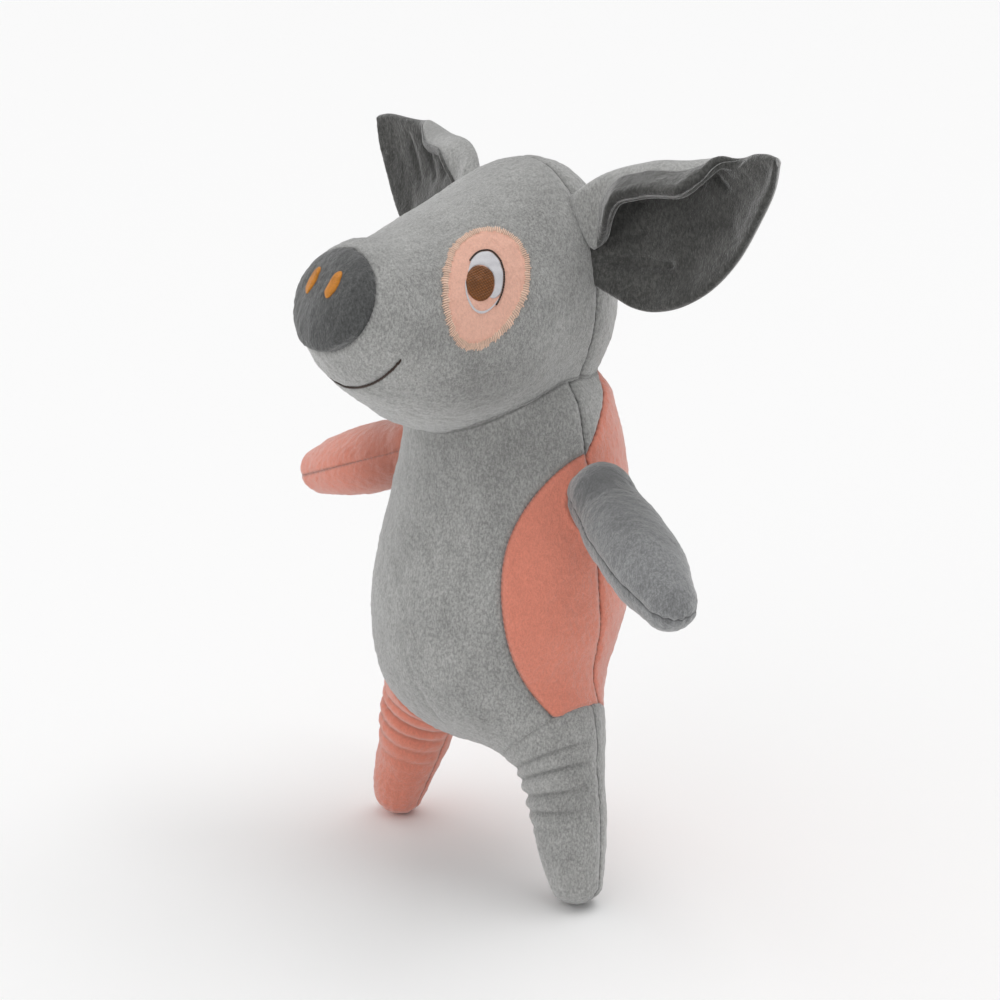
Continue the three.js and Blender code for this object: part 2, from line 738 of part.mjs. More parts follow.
const threads = {
  eye_patch: pinkPlush, eye_patch_border: pinkThread, eye_white: whiteThread,
  iris: brownThread, eye_outline: darkThread,
};
for (const [side, name, patched] of [[1, 'left', true], [-1, 'right', false]]) {
  for (const [piece, solid] of Object.entries(eye(side, patched))) {
    add(body, `${piece}_${name}`, solid, threads[piece]);
  }
}

for (const [name, { root, inner, outer }] of Object.entries(ears)) {
  const group = pivot(root);
  add(group, `ear_outer_${name}`, outer, greyPlush);
  add(group, `ear_inner_${name}`, inner, darkPlush);
}

for (const [name, cover] of [['left', armPlush], ['right', pinkPlush]]) {
  const group = pivot(arms[name].root);
  const { halves: [upper, lower], stuffing } = limbPieces(arms[name], false);
  add(group, `arm_top_${name}`, upper, cover);
  add(group, `arm_bottom_${name}`, lower, cover);
  add(group, `arm_stuffing_${name}`, stuffing, fibre);
}

for (const [name, cover] of [['left', greyPlush], ['right', pinkPlush]]) {
  const group = pivot(legs[name].root);
  const { halves: [front, back], stuffing } = limbPieces(legs[name], true);
  add(group, `leg_front_${name}`, front, cover);
  add(group, `leg_back_${name}`, back, cover);
  add(group, `leg_stuffing_${name}`, stuffing, fibre);
}

add(pivot(tailRoot), 'tail', tail(), greyPlush);

// The part's origin lies on the floor, under the middle of its box
const span = new THREE.Box3().setFromObject(pig, true);
const middle = span.getCenter(new THREE.Vector3());
pig.position.set(-middle.x, -middle.y, -span.min.z);
pig.updateMatrixWorld(true);

export default pig;
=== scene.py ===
"""A standing plush pig: short-pile cloth panels sewn round a filling, with an embroidered face.

Metres, +Z up. The pig looks along -Y and its left side is +X.
"""
import json
import math

import bpy
import numpy as np
from bpy.props import FloatProperty, FloatVectorProperty, PointerProperty
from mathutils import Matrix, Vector
from mathutils.bvhtree import BVHTree


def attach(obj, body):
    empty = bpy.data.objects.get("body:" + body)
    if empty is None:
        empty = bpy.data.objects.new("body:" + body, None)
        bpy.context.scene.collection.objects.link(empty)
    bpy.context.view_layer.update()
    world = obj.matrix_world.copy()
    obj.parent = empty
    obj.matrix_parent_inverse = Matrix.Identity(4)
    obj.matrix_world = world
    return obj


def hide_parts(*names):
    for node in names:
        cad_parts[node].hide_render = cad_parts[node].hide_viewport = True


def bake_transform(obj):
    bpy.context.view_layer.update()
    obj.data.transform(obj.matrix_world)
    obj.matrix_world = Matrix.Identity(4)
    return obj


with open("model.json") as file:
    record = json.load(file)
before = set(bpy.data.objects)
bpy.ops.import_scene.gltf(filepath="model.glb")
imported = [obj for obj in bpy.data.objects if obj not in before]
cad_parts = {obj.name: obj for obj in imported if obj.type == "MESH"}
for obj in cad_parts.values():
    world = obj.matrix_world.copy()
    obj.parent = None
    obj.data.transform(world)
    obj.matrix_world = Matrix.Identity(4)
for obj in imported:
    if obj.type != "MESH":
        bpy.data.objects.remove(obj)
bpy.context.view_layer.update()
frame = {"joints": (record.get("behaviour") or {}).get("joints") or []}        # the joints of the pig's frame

bl_info = {
    "name": "Plush Pig",
    "version": (1, 0, 0),
    "blender": (4, 5, 0),
    "location": "View3D > Sidebar > Plush Pig",
    "description": "Sews, fills and embroiders a standing plush pig around its fixed frame",
    "category": "Object",
}

MM = 0.001
SIDES = {"left": 1, "right": -1}


def joint_place(name):
    """Where a joint of the frame sits."""
    joint = next(j for j in frame["joints"] if j["name"] == name)
    return np.array(joint["pos_m"], float)


# The pattern's own origin: on the floor, under the middle of the shoulders
HIP_BACK = 5.3 * MM
MIDDLE = (joint_place("hip_left") + joint_place("hip_right")) / 2
MIDDLE = np.array([MIDDLE[0], MIDDLE[1] - HIP_BACK, 0.0])

# Torso rows: height, half width, half depth, and how far back the centre lies
TORSO_SHARES = [
    (0, 0, 0, 0.3), (0.022, 0.42, 0.355, 0.3), (0.07, 0.68, 0.61, 0.31), (0.15, 0.87, 0.83, 0.35),
    (0.255, 0.95, 0.94, 0.39), (0.375, 1, 1, 0.56), (0.495, 0.97, 0.995, 0.74),
    (0.615, 0.92, 0.955, 0.94), (0.74, 0.85, 0.9, 1), (0.84, 0.79, 0.845, 0.95),
    (0.92, 0.71, 0.76, 0.91), (0.975, 0.49, 0.51, 0.86), (1, 0, 0, 0.86),
]
# Head rows: distance from the back, half width, top, bottom, lean
HEAD_SHARES = [
    (0, 0, 0.525, 0.525, 0), (0.022, 0.403, 0.76, 0.26, 0), (0.08, 0.688, 0.885, 0.125, 0),
    (0.174, 0.893, 0.975, 0.05, 0), (0.297, 0.952, 0.99, 0.02, 0), (0.435, 1, 0.907, 0.005, 0),
    (0.565, 0.979, 0.84, 0.018, 0), (0.681, 0.893, 0.79, 0.053, 0.05),
    (0.783, 0.753, 0.755, 0.134, 0.2), (0.862, 0.672, 0.757, 0.228, 0.5),
    (0.92, 0.545, 0.743, 0.367, 1), (0.964, 0.424, 0.708, 0.388, 0.9),
    (0.989, 0.23, 0.635, 0.45, 0.9), (1, 0, 0.543, 0.543, 0.9),
]
NOSE_ROW = 10
# Ear rows: distance from the root over the length, top and bottom edge over the width
EAR_SHARES = [
    (-0.034, 0.32, -0.25), (0, 0.33, -0.31), (0.067, 0.357, -0.41), (0.146, 0.375, -0.527),
    (0.247, 0.366, -0.607), (0.382, 0.327, -0.64), (0.54, 0.282, -0.607), (0.697, 0.21, -0.5),
    (0.843, 0.129, -0.33), (0.944, 0.071, -0.188), (1, 0.014, -0.045),
]
# Arm and leg rows: distance along, and how much of the swelling or taper is there
ARM_SWELL_SHARES = [(0.12, 0.3), (0.33, 1), (0.6, 0.93), (0.82, 0.6)]
LEG_TAPER_SHARES = [(0.12, 0.02), (0.3, 0.1), (0.5, 0.3), (0.72, 0.58), (0.88, 0.8)]
LEG_SEAM_TURN = math.radians(15)
# How much of a foot's rounded end the floor flattens
SOLE_SQUASH = 0.8 * MM
# How narrow the drawn-in line of the back is
BACK_DRAW_POWER = 7
# Farther off than anything on the pig
FAR = 1.0


def length(name, millimetres, description):
    """A size that the panel shows, given here in millimetres."""
    return FloatProperty(
        name=name, description=description, default=millimetres * MM,
        subtype="DISTANCE", unit="LENGTH", precision=4)


def angle(name, degrees, description):
    """An angle that the panel shows, given here in degrees."""
    return FloatProperty(
        name=name, description=description, default=math.radians(degrees), subtype="ANGLE", unit="ROTATION")


def linear(value):
    """A display colour channel as a light level."""
    return value / 12.92 if value <= 0.04045 else ((value + 0.055) / 1.055) ** 2.4


def colour(name, red, green, blue, description):
    """A colour that the panel shows, given here as display values from 0 to 255."""
    return FloatVectorProperty(
        name=name, description=description, subtype="COLOR", size=3, min=0, max=1,
        default=tuple(linear(v / 255) for v in (red, green, blue)))


class PigSizes(bpy.types.PropertyGroup):
    """The pattern's sizes."""

    seat_height: length("Seat height", 53.5, "From the floor to the underside of the torso")
    torso_height: length("Torso height", 164.5, "From the seat to the top under the head")
    torso_half_width: length("Torso half width", 56.3, "At the widest part of the belly")
    torso_half_depth: length("Torso half depth", 52.2, "At the deepest part of the belly")
    torso_sway: length("Torso sway", 16.7, "How far back the shoulders lean")
    back_draw: FloatProperty(
        name="Back draw", description="Share of the depth by which the back's seam is drawn in", default=0.09)
    side_seam_back: length("Side seam", 16.5, "How far back the side seam lies")
    flank_middle_back: length("Flank middle", 22, "How far back the middle of the flank patch lies")
    flank_middle_rise: length("Flank rise", 68.5, "The flank patch's middle above the seat")
    flank_reach: length("Flank reach", 45.5, "From the flank patch's middle to its front edge")
    flank_upper: length("Flank upper", 61, "From the flank patch's middle to its upper tip")
    flank_lower: length("Flank lower", 50, "From the flank patch's middle to its lower tip")
    yoke_drop: length("Yoke drop", 36.5, "The yoke's lower corner below the torso's top")
    yoke_height: length("Yoke height", 20, "How far the yoke's edge rises")
    yoke_width: length("Yoke width", 18, "How far the yoke's edge runs back")
    head_length: length("Head length", 138, "From the back of the head to the snout's tip")
    head_back: length("Head back", 57, "How far back the head reaches")
    head_base: length("Head base", 187, "The underside of the head above the floor")
    head_height: length("Head height", 108.5, "From the chin to the crown")
    head_half_width: length("Head half width", 46.5, "At the cheeks")
    snout_lean: FloatProperty(name="Snout lean", description="How far the snout turns up", default=0.35)
    head_seam: length("Head seam", 23.5, "How far back the seam across the head lies")
    ear_length: length("Ear length", 89, "From the root to the tip")
    ear_width: length("Ear width", 56, "Scale of the ear's outline across its length")
    ear_bow: length("Ear bow", 9, "How far the middle of the ear bends back")
    ear_cup: length("Ear cup", 6, "How far the lower edge of the ear turns forward")
    ear_rim: length("Ear rim", 2.3, "Half the thickness of the ear's soft rim")
    ear_flap: length("Ear flap", 14.5, "How far the turned upper edge reaches forward")
    arm_reach: length("Arm reach", 62, "From the shoulder to the start of the hand's end")
    arm_radius: length("Arm radius", 16.4, "At the swelling of the arm")
    arm_root: length("Arm root", 13.7, "Radius at the shoulder")
    hand_radius: length("Hand radius", 12.2, "At the end of the arm")
    hand_length: length("Hand length", 14, "The rounded end of the arm")
    foot_half_span: length("Foot span", 61, "From the middle to the sole of a foot")
    leg_root: length("Leg root", 18.5, "Radius at the hip")
    foot_radius: length("Foot radius", 12.8, "At the foot")
    foot_length: length("Foot length", 11, "The rounded end of the foot")
    tail_radius: length("Tail radius", 3.6, "At the tail's root")
    tail_tip: length("Tail tip", 2.2, "Radius at the tail's end")
    cloth: length("Cloth", 1.4, "Thickness of the plush with its backing")
    seam_depth: length("Seam depth", 1.2, "How deep a seam pulls the plush in")
    seam_width: length("Seam width", 2.8, "Half the width of the hollow along a seam")
    stitch_pitch: length("Stitch pitch", 2.1, "From one seam stitch to the next")
    thread: length("Thread", 0.5, "Width of one embroidery thread")
    arm_drop: angle("Arm drop", 19.5, "How far the arms hang below level")
    left_arm_turn: angle("Left arm turn", 20, "How far the left arm points forward")
    right_arm_turn: angle("Right arm turn", 7, "How far the right arm points forward")
    eye_tilt: angle("Eye tilt", 20, "How far the eye leans")
    patch_tilt: angle("Patch tilt", 27, "How far the field round the left eye leans")


class PigColours(bpy.types.PropertyGroup):
    """The pig's cloths and threads."""

    grey: colour("Grey plush", 163, 163, 161, "Body, face and left leg")
    dark: colour("Dark plush", 77, 77, 75, "The inside of the ears")
    nose: colour("Nose plush", 86, 87, 87, "Nose disc")
    arm: colour("Arm plush", 132, 133, 134, "Left arm")
    pink: colour("Pink plush", 236, 146, 124, "Flank, back, right arm and right leg")
    felt: colour("Felt", 244, 192, 172, "Field round the left eye")
    fibre: colour("Filling", 242, 239, 232, "Polyester filling")
    orange: colour("Orange thread", 216, 140, 48, "Nostrils")
    white: colour("White thread", 214, 213, 217, "White of the eye")
    brown: colour("Brown thread", 140, 82, 28, "Iris")
    dark_thread: colour("Dark thread", 58, 40, 30, "Mouth and the outline of the eye")
    pink_thread: colour("Pink thread", 255, 220, 198, "Border round the eye's field")
    floor: colour("Floor", 252, 252, 252, "Photographic floor")


# Forms: closed skins that swell and taper along a table of rows


def between(rows, before, after, u):
    """A smooth value at the places u between the rows of a table."""
    rows = np.asarray(rows, float)
    last = len(rows) - 1
    padded = np.vstack([before, rows, after])
    i = np.clip(np.floor(u).astype(int), 0, last - 1)
    f = (u - i)[..., None]
    p0, p1, p2, p3 = (padded[i + k] for k in range(4))
    bend = 2 * p0 - 5 * p1 + 4 * p2 - p3
    twist = 3 * p1 - p0 - 3 * p2 + p3
    return p1 + 0.5 * f * (p2 - p0 + f * (bend + f * twist))


class Form:
    """A closed skin through rings of points, with a pole at each end."""

    def __init__(self, rows, mirror, place):
        self.rows = np.asarray(rows, float)
        self.last = len(rows) - 1
        self.ends = mirror(self.rows[1]), mirror(self.rows[-2])
        self.place = place

    def point(self, u, t):
        u, t = np.broadcast_arrays(np.asarray(u, float), np.asarray(t, float))
        row = between(self.rows, *self.ends, u)
        return self.place(np.moveaxis(row, -1, 0), t)

    def reach(self, value):
        """Where along the table the first column has a value."""
        u = np.linspace(0, self.last, 4000)
        column = between(self.rows, *self.ends, u)[:, 0]
        return u[np.argmin(abs(column - value))]

    def skin(self, rings=150, sides=180):
        """Points and faces of the whole form, with the faces pointing out."""
        u = np.linspace(0, self.last, rings + 1)[1:-1]
        t = np.linspace(0, 2 * math.pi, sides, endpoint=False)
        body = self.point(u[:, None], t[None, :]).reshape(-1, 3)
        points = np.vstack([body, self.point(0, 0)[None], self.point(self.last, 0)[None]])
        faces = []
        for r in range(rings - 2):
            for s in range(sides):
                a, b = r * sides + s, r * sides + (s + 1) % sides
                faces.append((a, b, b + sides, a + sides))
        low, high, top = len(body), len(body) + 1, (rings - 2) * sides
        for s in range(sides):
            n = (s + 1) % sides
            faces.append((low, n, s))
            faces.append((high, top + s, top + n))
        tris = triangles(faces)
        if volume(points, tris) < 0:
            faces = [face[::-1] for face in faces]
        return points, faces


def triangles(faces):
    """Faces of three or four corners as an array of triangles."""
    tris = []
    for f in faces:
        tris.append((f[0], f[1], f[2]))
        if len(f) == 4:
            tris.append((f[0], f[2], f[3]))
    return np.array(tris, int)


def volume(points, tris):
    a, b, c = (points[tris[:, k]] for k in range(3))
    return float(np.einsum("ij,ij->i", a, np.cross(b, c)).sum() / 6)


def unit(v):
    v = np.asarray(v, float)
    return v / np.maximum(np.linalg.norm(v, axis=-1, keepdims=True), 1e-12)


def point_normals(points, tris):
    """The way out at each point of a closed skin."""
    a, b, c = (points[tris[:, k]] for k in range(3))
    face = np.cross(b - a, c - a)
    out = np.zeros_like(points)
    for k in range(3):
        for axis in range(3):
            out[:, axis] += np.bincount(tris[:, k], face[:, axis], len(points))
    return unit(out)


def torso_form(s):
    rows = [(s.seat_height + h * s.torso_height, w * s.torso_half_width, d * s.torso_half_depth,
             y * s.torso_sway) for h, w, d, y in TORSO_SHARES]

    def place(row, t):
        height, wide, deep, sway = row
        drawn = 1 - s.back_draw * np.maximum(0, np.sin(t)) ** BACK_DRAW_POWER
        return np.stack([wide * np.cos(t), sway + deep * drawn * np.sin(t), height + 0 * t], -1)

    return Form(rows, lambda r: r * (1, -1, -1, 1), place)


def head_form(s):
    rows = [(s.head_back - a * s.head_length, w * s.head_half_width, s.head_base + top * s.head_height,
             s.head_base + low * s.head_height, lean * s.snout_lean) for a, w, top, low, lean in HEAD_SHARES]

    def place(row, t):
        along, wide, top, bottom, lean = row
        rise = (top - bottom) / 2 * np.sin(t)
        return np.stack([wide * np.cos(t), along + lean * rise, (top + bottom) / 2 + rise], -1)

    return Form(rows, lambda r: r[[0, 1, 3, 2, 4]] * (1, -1, 1, 1, 1), place)


def limb_form(root, out, aside, root_radius, end_radius, end_length, reach, swell):
    """A stuffed limb, with the direction in which its seam's plane faces."""
    quarter = np.linspace(0, math.pi / 2, 4)
    rows = [(-root_radius * math.cos(a), root_radius * math.sin(a)) for a in quarter]
    rows += [(along * reach, radius) for along, radius in swell]
    rows += [(reach + end_length * math.cos(a), end_radius * math.sin(a)) for a in quarter[::-1]]
    across = unit(aside - out * (aside @ out))
    third = np.cross(out, across)

    def place(row, t):
        along, radius = row
        return (root + along[..., None] * out + (radius * np.cos(t))[..., None] * across
                + (radius * np.sin(t))[..., None] * third)

    return Form(rows, lambda r: r * (1, -1), place), third


def arm_form(s, side):
    turn = s.left_arm_turn if side > 0 else s.right_arm_turn
    root = joint_place("shoulder_left" if side > 0 else "shoulder_right") - MIDDLE
    level = math.cos(s.arm_drop)
    out = np.array([side * math.cos(turn) * level, -math.sin(turn) * level, -math.sin(s.arm_drop)])
    aside = np.array([-side * math.sin(turn), -math.cos(turn), 0.0])
    swell = []
    for along, share in ARM_SWELL_SHARES:
        base = s.arm_root + along * (s.hand_radius - s.arm_root)
        swell.append((along, base + share * (s.arm_radius - base)))
    form, third = limb_form(
        root, out, aside, s.arm_root, s.hand_radius, s.hand_length, s.arm_reach, swell)
    return form, root, out, third * np.sign(third[2])


def leg_form(s, side):
    root = joint_place("hip_left" if side > 0 else "hip_right") - MIDDLE
    out = unit(np.array([side * s.foot_half_span, 0.0, 0.0]) - root)
    aside = np.array([math.cos(LEG_SEAM_TURN), math.sin(LEG_SEAM_TURN), 0.0])
    swell = [(along, s.leg_root + share * (s.foot_radius - s.leg_root)) for along, share in LEG_TAPER_SHARES]
    reach = root[2] / -out[2]
    for _ in range(2):
        form, third = limb_form(
            root, out, aside, s.leg_root, s.foot_radius, s.foot_length, reach, swell)
        lowest = form.skin(60, 60)[0][:, 2].min()
        reach += (lowest + SOLE_SQUASH) / -out[2]
    return form, root, out, third * -np.sign(third[1])


# Meshes


def deselect_all():
    for obj in list(bpy.context.selected_objects):
        obj.select_set(False)


def new_object(name, points, faces):
    """A mesh object at the origin, as the only selected one."""
    mesh = bpy.data.meshes.new(name)
    mesh.from_pydata(np.asarray(points).tolist(), [], [tuple(map(int, f)) for f in faces])
    mesh.validate()
    obj = bpy.data.objects.new(name, mesh)
    bpy.context.scene.collection.objects.link(obj)
    deselect_all()
    bpy.context.view_layer.objects.active = obj
    obj.select_set(True)
    return obj


def points_of(mesh):
    flat = np.empty(len(mesh.vertices) * 3)
    mesh.vertices.foreach_get("co", flat)
    return flat.reshape(-1, 3)


def faces_of(mesh):
    return [tuple(p.vertices) for p in mesh.polygons]


def remove(obj):
    mesh = obj.data
    bpy.data.objects.remove(obj)
    bpy.data.meshes.remove(mesh)


def with_modifier(points, faces, kind, **settings):
    """Points and faces after one modifier."""
    obj = new_object("work", points, faces)
    modifier = obj.modifiers.new("work", kind)
    for name, value in settings.items():
        setattr(modifier, name, value)
    bpy.ops.object.modifier_apply(modifier=modifier.name)
    result = points_of(obj.data), faces_of(obj.data)
    remove(obj)
    return result


def nearest(tree, points):
    """The nearest points of a surface and its normals there."""
    found = [tree.find_nearest(Vector(p)) for p in points]
    return np.array([f[0] for f in found]), np.array([f[1] for f in found])


CLOTH_FRAMES = 20
PRESSURE = 4
# A point that is held less than this is left free
HELD_LEAST = 0.02
MOST_SWELL = 2.6 * MM
SHRINK_FIRST = 1.3 * MM


def inflate(points, faces, held):
    """The skin after its filling has pressed it out for a moment, with the held points kept in place."""
    start = points - point_normals(points, triangles(faces)) * SHRINK_FIRST
    obj = new_object("filling", start, faces)
    group = obj.vertex_groups.new(name="held")
    for i in np.nonzero(held > HELD_LEAST)[0]:
        group.add([int(i)], float(held[i]), "REPLACE")
    cloth = obj.modifiers.new("Filling", "CLOTH").settings
    cloth.vertex_group_mass = group.name
    cloth.quality = 6
    cloth.tension_stiffness = cloth.compression_stiffness = 25
    cloth.shear_stiffness = 12
    cloth.bending_stiffness = 1.5
    cloth.use_pressure = True
    cloth.uniform_pressure_force = PRESSURE
    cloth.effector_weights.gravity = 0
    scene = bpy.context.scene
    for step in range(1, CLOTH_FRAMES + 1):
        scene.frame_set(step)
    swollen = obj.evaluated_get(bpy.context.evaluated_depsgraph_get())
    moved = points_of(swollen.data) - start
    scene.frame_set(1)
    remove(obj)
    size = np.linalg.norm(moved, axis=1, keepdims=True)
    return start + moved * MOST_SWELL / (MOST_SWELL + size)


def stuffed_skin(form, voxel, levels, hold):
    """A fine closed skin of the form, swollen between the places that hold() keeps in."""
    loft_points, loft_faces = form.skin()
    tree = BVHTree.FromPolygons(loft_points.tolist(), loft_faces)
    rough, faces = with_modifier(loft_points, loft_faces, "REMESH", mode="VOXEL", voxel_size=voxel)
    rest, _ = nearest(tree, rough)
    full = inflate(rest, faces, hold(rest))
    fine = {"levels": levels, "render_levels": levels}
    plain, _ = with_modifier(rest, faces, "SUBSURF", **fine)
    swollen, fine_faces = with_modifier(full, faces, "SUBSURF", **fine)
    exact, _ = nearest(tree, plain)
    tris = triangles(fine_faces)
    points = exact + swollen - plain
    if volume(points, tris) < 0:
        tris = tris[:, ::-1]
    core = full, triangles(faces)
    return points, tris, core


# Surface detail

LUMP_WAVES = 20


def lumps(points, size, seed):
    """Smooth bumps about as wide as size."""
    draw = np.random.default_rng(seed)
    waves = unit(draw.normal(size=(LUMP_WAVES, 3))) * draw.uniform(0.7, 1.4, (LUMP_WAVES, 1))
    phase = draw.uniform(0, 2 * math.pi, LUMP_WAVES)
    return np.sin(points @ (waves * math.pi / size).T + phase).sum(1) / math.sqrt(LUMP_WAVES)


def hollow(distance, width):
    """1 in the middle of a hollow and 0 past its width."""
    share = np.clip(1 - np.abs(distance) / width, 0, 1)
    return share * share * (3 - 2 * share) * 0.5 + share ** 3 * 0.5


def fading(distance, width):
    """1 on a line and less and less beside it, with most of it inside a width."""
    return np.exp(-(distance / width) ** 2)


def line_distance(points, line):
    """Distance to a line through a few places."""
    best = np.full(len(points), FAR)
    for a, b in zip(line[:-1], line[1:]):
        ab = b - a
        t = np.clip((points - a) @ ab / (ab @ ab), 0, 1)
        best = np.minimum(best, np.linalg.norm(points - a - t[:, None] * ab, axis=1))
    return best


class Seam:
    """A seam where value() is zero, on the part of the skin where live() holds."""

    def __init__(self, value, live=None, depth=1.0):
        self.value = value
        self.live = live or (lambda p: np.ones(len(p), bool))
        self.depth = depth

    def distance(self, points, normals):
        """Distance from the seam along the cloth."""
        step = 0.05 * MM
        value = self.value(points)
        slope = np.empty_like(points)
        for axis in range(3):
            ahead = points.copy()
            ahead[:, axis] += step
            slope[:, axis] = (self.value(ahead) - value) / step
        slope -= normals * np.einsum("ij,ij->i", slope, normals)[:, None]
        far = np.abs(value) / np.maximum(np.linalg.norm(slope, axis=1), 1e-3)
        return np.where(self.live(points), far, FAR)


def snap(points, tris, seams):
    """Moves the points next to each seam onto it, so that the panels part along clean lines."""
    edges = np.vstack([tris[:, [0, 1]], tris[:, [1, 2]], tris[:, [2, 0]]])
    edges = np.unique(np.sort(edges, axis=1), axis=0)
    fixed = np.zeros(len(points), bool)
    for seam in seams:
        value = seam.value(points)
        a, b = edges.T
        crossing = (value[a] * value[b] < 0) & seam.live((points[a] + points[b]) / 2)
        a, b = a[crossing], b[crossing]
        share = value[a] / (value[a] - value[b])
        near_a = ((share < 0.5) & ~fixed[a]) | fixed[b]
        near, far = np.where(near_a, a, b), np.where(near_a, b, a)
        share = np.where(near_a, share, 1 - share)
        free = ~fixed[near]
        near, far, share = near[free], far[free], share[free]
        order = np.argsort(-share)
        near, far, share = near[order], far[order], share[order]
        target = points.copy()
        target[near] = points[near] + (points[far] - points[near]) * share[:, None]
        points = target
        fixed[near] = True
    return points


STITCH_WAY = np.array([0.62, 0.55, 0.86])
SEAM_LINE = 0.6 * MM
# Height and width of the puckers along a seam, and of the cloth's unevenness everywhere
PUCKERS = (0.12 * MM, 2.6 * MM)
UNEVEN = [(0.4 * MM, 19 * MM), (0.12 * MM, 5 * MM), (0.1 * MM, 1.7 * MM)]


def sew(points, tris, seams, s, seed, creases):
    """Pulls the seams in, roughens the nap and returns the points and a mask of the seam lines together with
    the painted shade of creases and folds.
    """
    normals = point_normals(points, tris)
    depth = np.zeros(len(points))
    mask = np.zeros(len(points))
    stitch = 0.7 + 0.3 * np.sin(points @ STITCH_WAY * 2 * math.pi / s.stitch_pitch)
    for seam in seams:
        far = seam.distance(points, normals)
        depth = np.maximum(depth, seam.depth * s.seam_depth * hollow(far, s.seam_width))
        mask = np.maximum(mask, fading(far, SEAM_LINE) * stitch)
    near_seam = np.clip(depth / s.seam_depth, 0, 1)
    height, width = PUCKERS
    move = height * near_seam * (1 - near_seam) * 4 * lumps(points, width, seed + len(UNEVEN)) - depth
    for k, (height, width) in enumerate(UNEVEN):
        move += height * lumps(points, width, seed + k)
    change, shade = creases(points, normals)
    return points + normals * (move + change)[:, None], np.maximum(mask, shade)


def shell(name, points, tris, normals, thickness, mask):
    """A closed sheet of cloth: the faces, their lining and the cut edge between them."""
    used = np.unique(tris)
    index = np.full(len(points), -1)
    index[used] = np.arange(len(used))
    outer = index[tris]
    count = len(used)
    edges = np.vstack([outer[:, [0, 1]], outer[:, [1, 2]], outer[:, [2, 0]]])
    keys = edges[:, 0] * count + edges[:, 1]
    twins = edges[:, 1] * count + edges[:, 0]
    rim = edges[~np.isin(keys, twins)]
    a, b = rim.T
    inner = outer[:, ::-1] + count
    sides = np.vstack([np.stack([b, a, a + count], 1), np.stack([b, a + count, b + count], 1)])
    body = np.vstack([points[used], points[used] - normals[used] * thickness])
    obj = new_object(name, body + MIDDLE, np.vstack([outer, inner, sides]))
    write_mask(obj.data, np.concatenate([mask[used], mask[used]]))
    obj.data.shade_smooth()
    return obj


def write_mask(mesh, values):
    """How close each point is to a seam, together with the painted shade of folds and creases, for the
    cloth's material.
    """
    attribute = mesh.attributes.new("seam", "FLOAT", "POINT")
    attribute.data.foreach_set("value", np.asarray(values, np.float32))


def slab(name, top, bottom, wrap, mask=0.0):
    """A closed solid between two grids of points; wrap joins the last row to the first."""
    n, m = top.shape[:2]
    body = np.vstack([top.reshape(-1, 3), bottom.reshape(-1, 3)])
    base = n * m
    faces = []
    for i in range(n if wrap else n - 1):
        j = (i + 1) % n
        for k in range(m - 1):
            a, b, c, d = i * m + k, i * m + k + 1, j * m + k + 1, j * m + k
            faces.append((a, b, c, d))
            faces.append((base + d, base + c, base + b, base + a))
        for k, turn in ((0, 1), (m - 1, -1)):
            face = (i * m + k, j * m + k, base + j * m + k, base + i * m + k)
            faces.append(face[::turn])
    if not wrap:
        for i, turn in ((0, -1), (n - 1, 1)):
            for k in range(m - 1):
                face = (i * m + k, i * m + k + 1, base + i * m + k + 1, base + i * m + k)
                faces.append(face[::turn])
    if volume(body - body.mean(0), triangles(faces)) < 0:
        faces = [f[::-1] for f in faces]
    obj = new_object(name, body + MIDDLE, faces)
    write_mask(obj.data, np.full(len(body), mask) if np.isscalar(mask) else mask)
    obj.data.shade_smooth()
    return obj


def joined(parts):
    """Several parts of one piece as one object."""
    deselect_all()
    for part in parts:
        part.select_set(True)
    bpy.context.view_layer.objects.active = parts[0]
    bpy.ops.object.join()
    return parts[0]


def finish_piece(obj, node, body, material):
    """Gives the piece its cloth or thread and its place in the pig."""
    obj.data.materials.clear()
    obj.data.materials.append(material)
    if isinstance(body, Bend):
        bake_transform(obj)
    else:
        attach(obj, body)
    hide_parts(node)
    return obj


FILLING_INSET = 3.8 * MM
# How far the filling keeps from a neighbour that takes its room
FILLING_ROOM = 2 * MM
FILLING_LUMPS = (0.3 * MM, 6 * MM)
FILLING_SEED = 77


def stuffing(node_name, body, core):
    """The filling inside a cover."""
    points, tris = core
    if volume(points, tris) < 0:
        tris = tris[:, ::-1]
    points = points - point_normals(points, tris) * FILLING_INSET
    height, width = FILLING_LUMPS
    points = points + point_normals(points, tris) * (height * lumps(points, width, FILLING_SEED))[:, None]
    obj = new_object(node_name + "_fluff", points + MIDDLE, tris)
    write_mask(obj.data, np.zeros(len(points)))
    obj.data.shade_smooth()
    finish_piece(obj, node_name, body, fibre_material())

# Materials


def group_tree(name, inputs, outputs):
    """An empty node group with named sockets."""
    tree = bpy.data.node_groups.new(name, "ShaderNodeTree")
    for label, kind, default in inputs:
        socket = tree.interface.new_socket(name=label, in_out="INPUT", socket_type=kind)
        socket.default_value = default
    for label, kind in outputs:
        tree.interface.new_socket(name=label, in_out="OUTPUT", socket_type=kind)
    return tree, tree.nodes.new("NodeGroupInput"), tree.nodes.new("NodeGroupOutput")


def node(tree, kind, label=None, **settings):
    made = tree.nodes.new(kind)
    if label:
        made.label = label
    for name, value in settings.items():
        setattr(made, name, value)
    return made


def math_node(tree, operation, first, second, clamp=False):
    """A Math node between two sockets or numbers."""
    made = node(tree, "ShaderNodeMath", operation=operation, use_clamp=clamp)
    for socket, value in zip(made.inputs, (first, second)):
        if isinstance(value, (int, float)):
            socket.default_value = value
        else:
            tree.links.new(value, socket)
    return made.outputs[0]


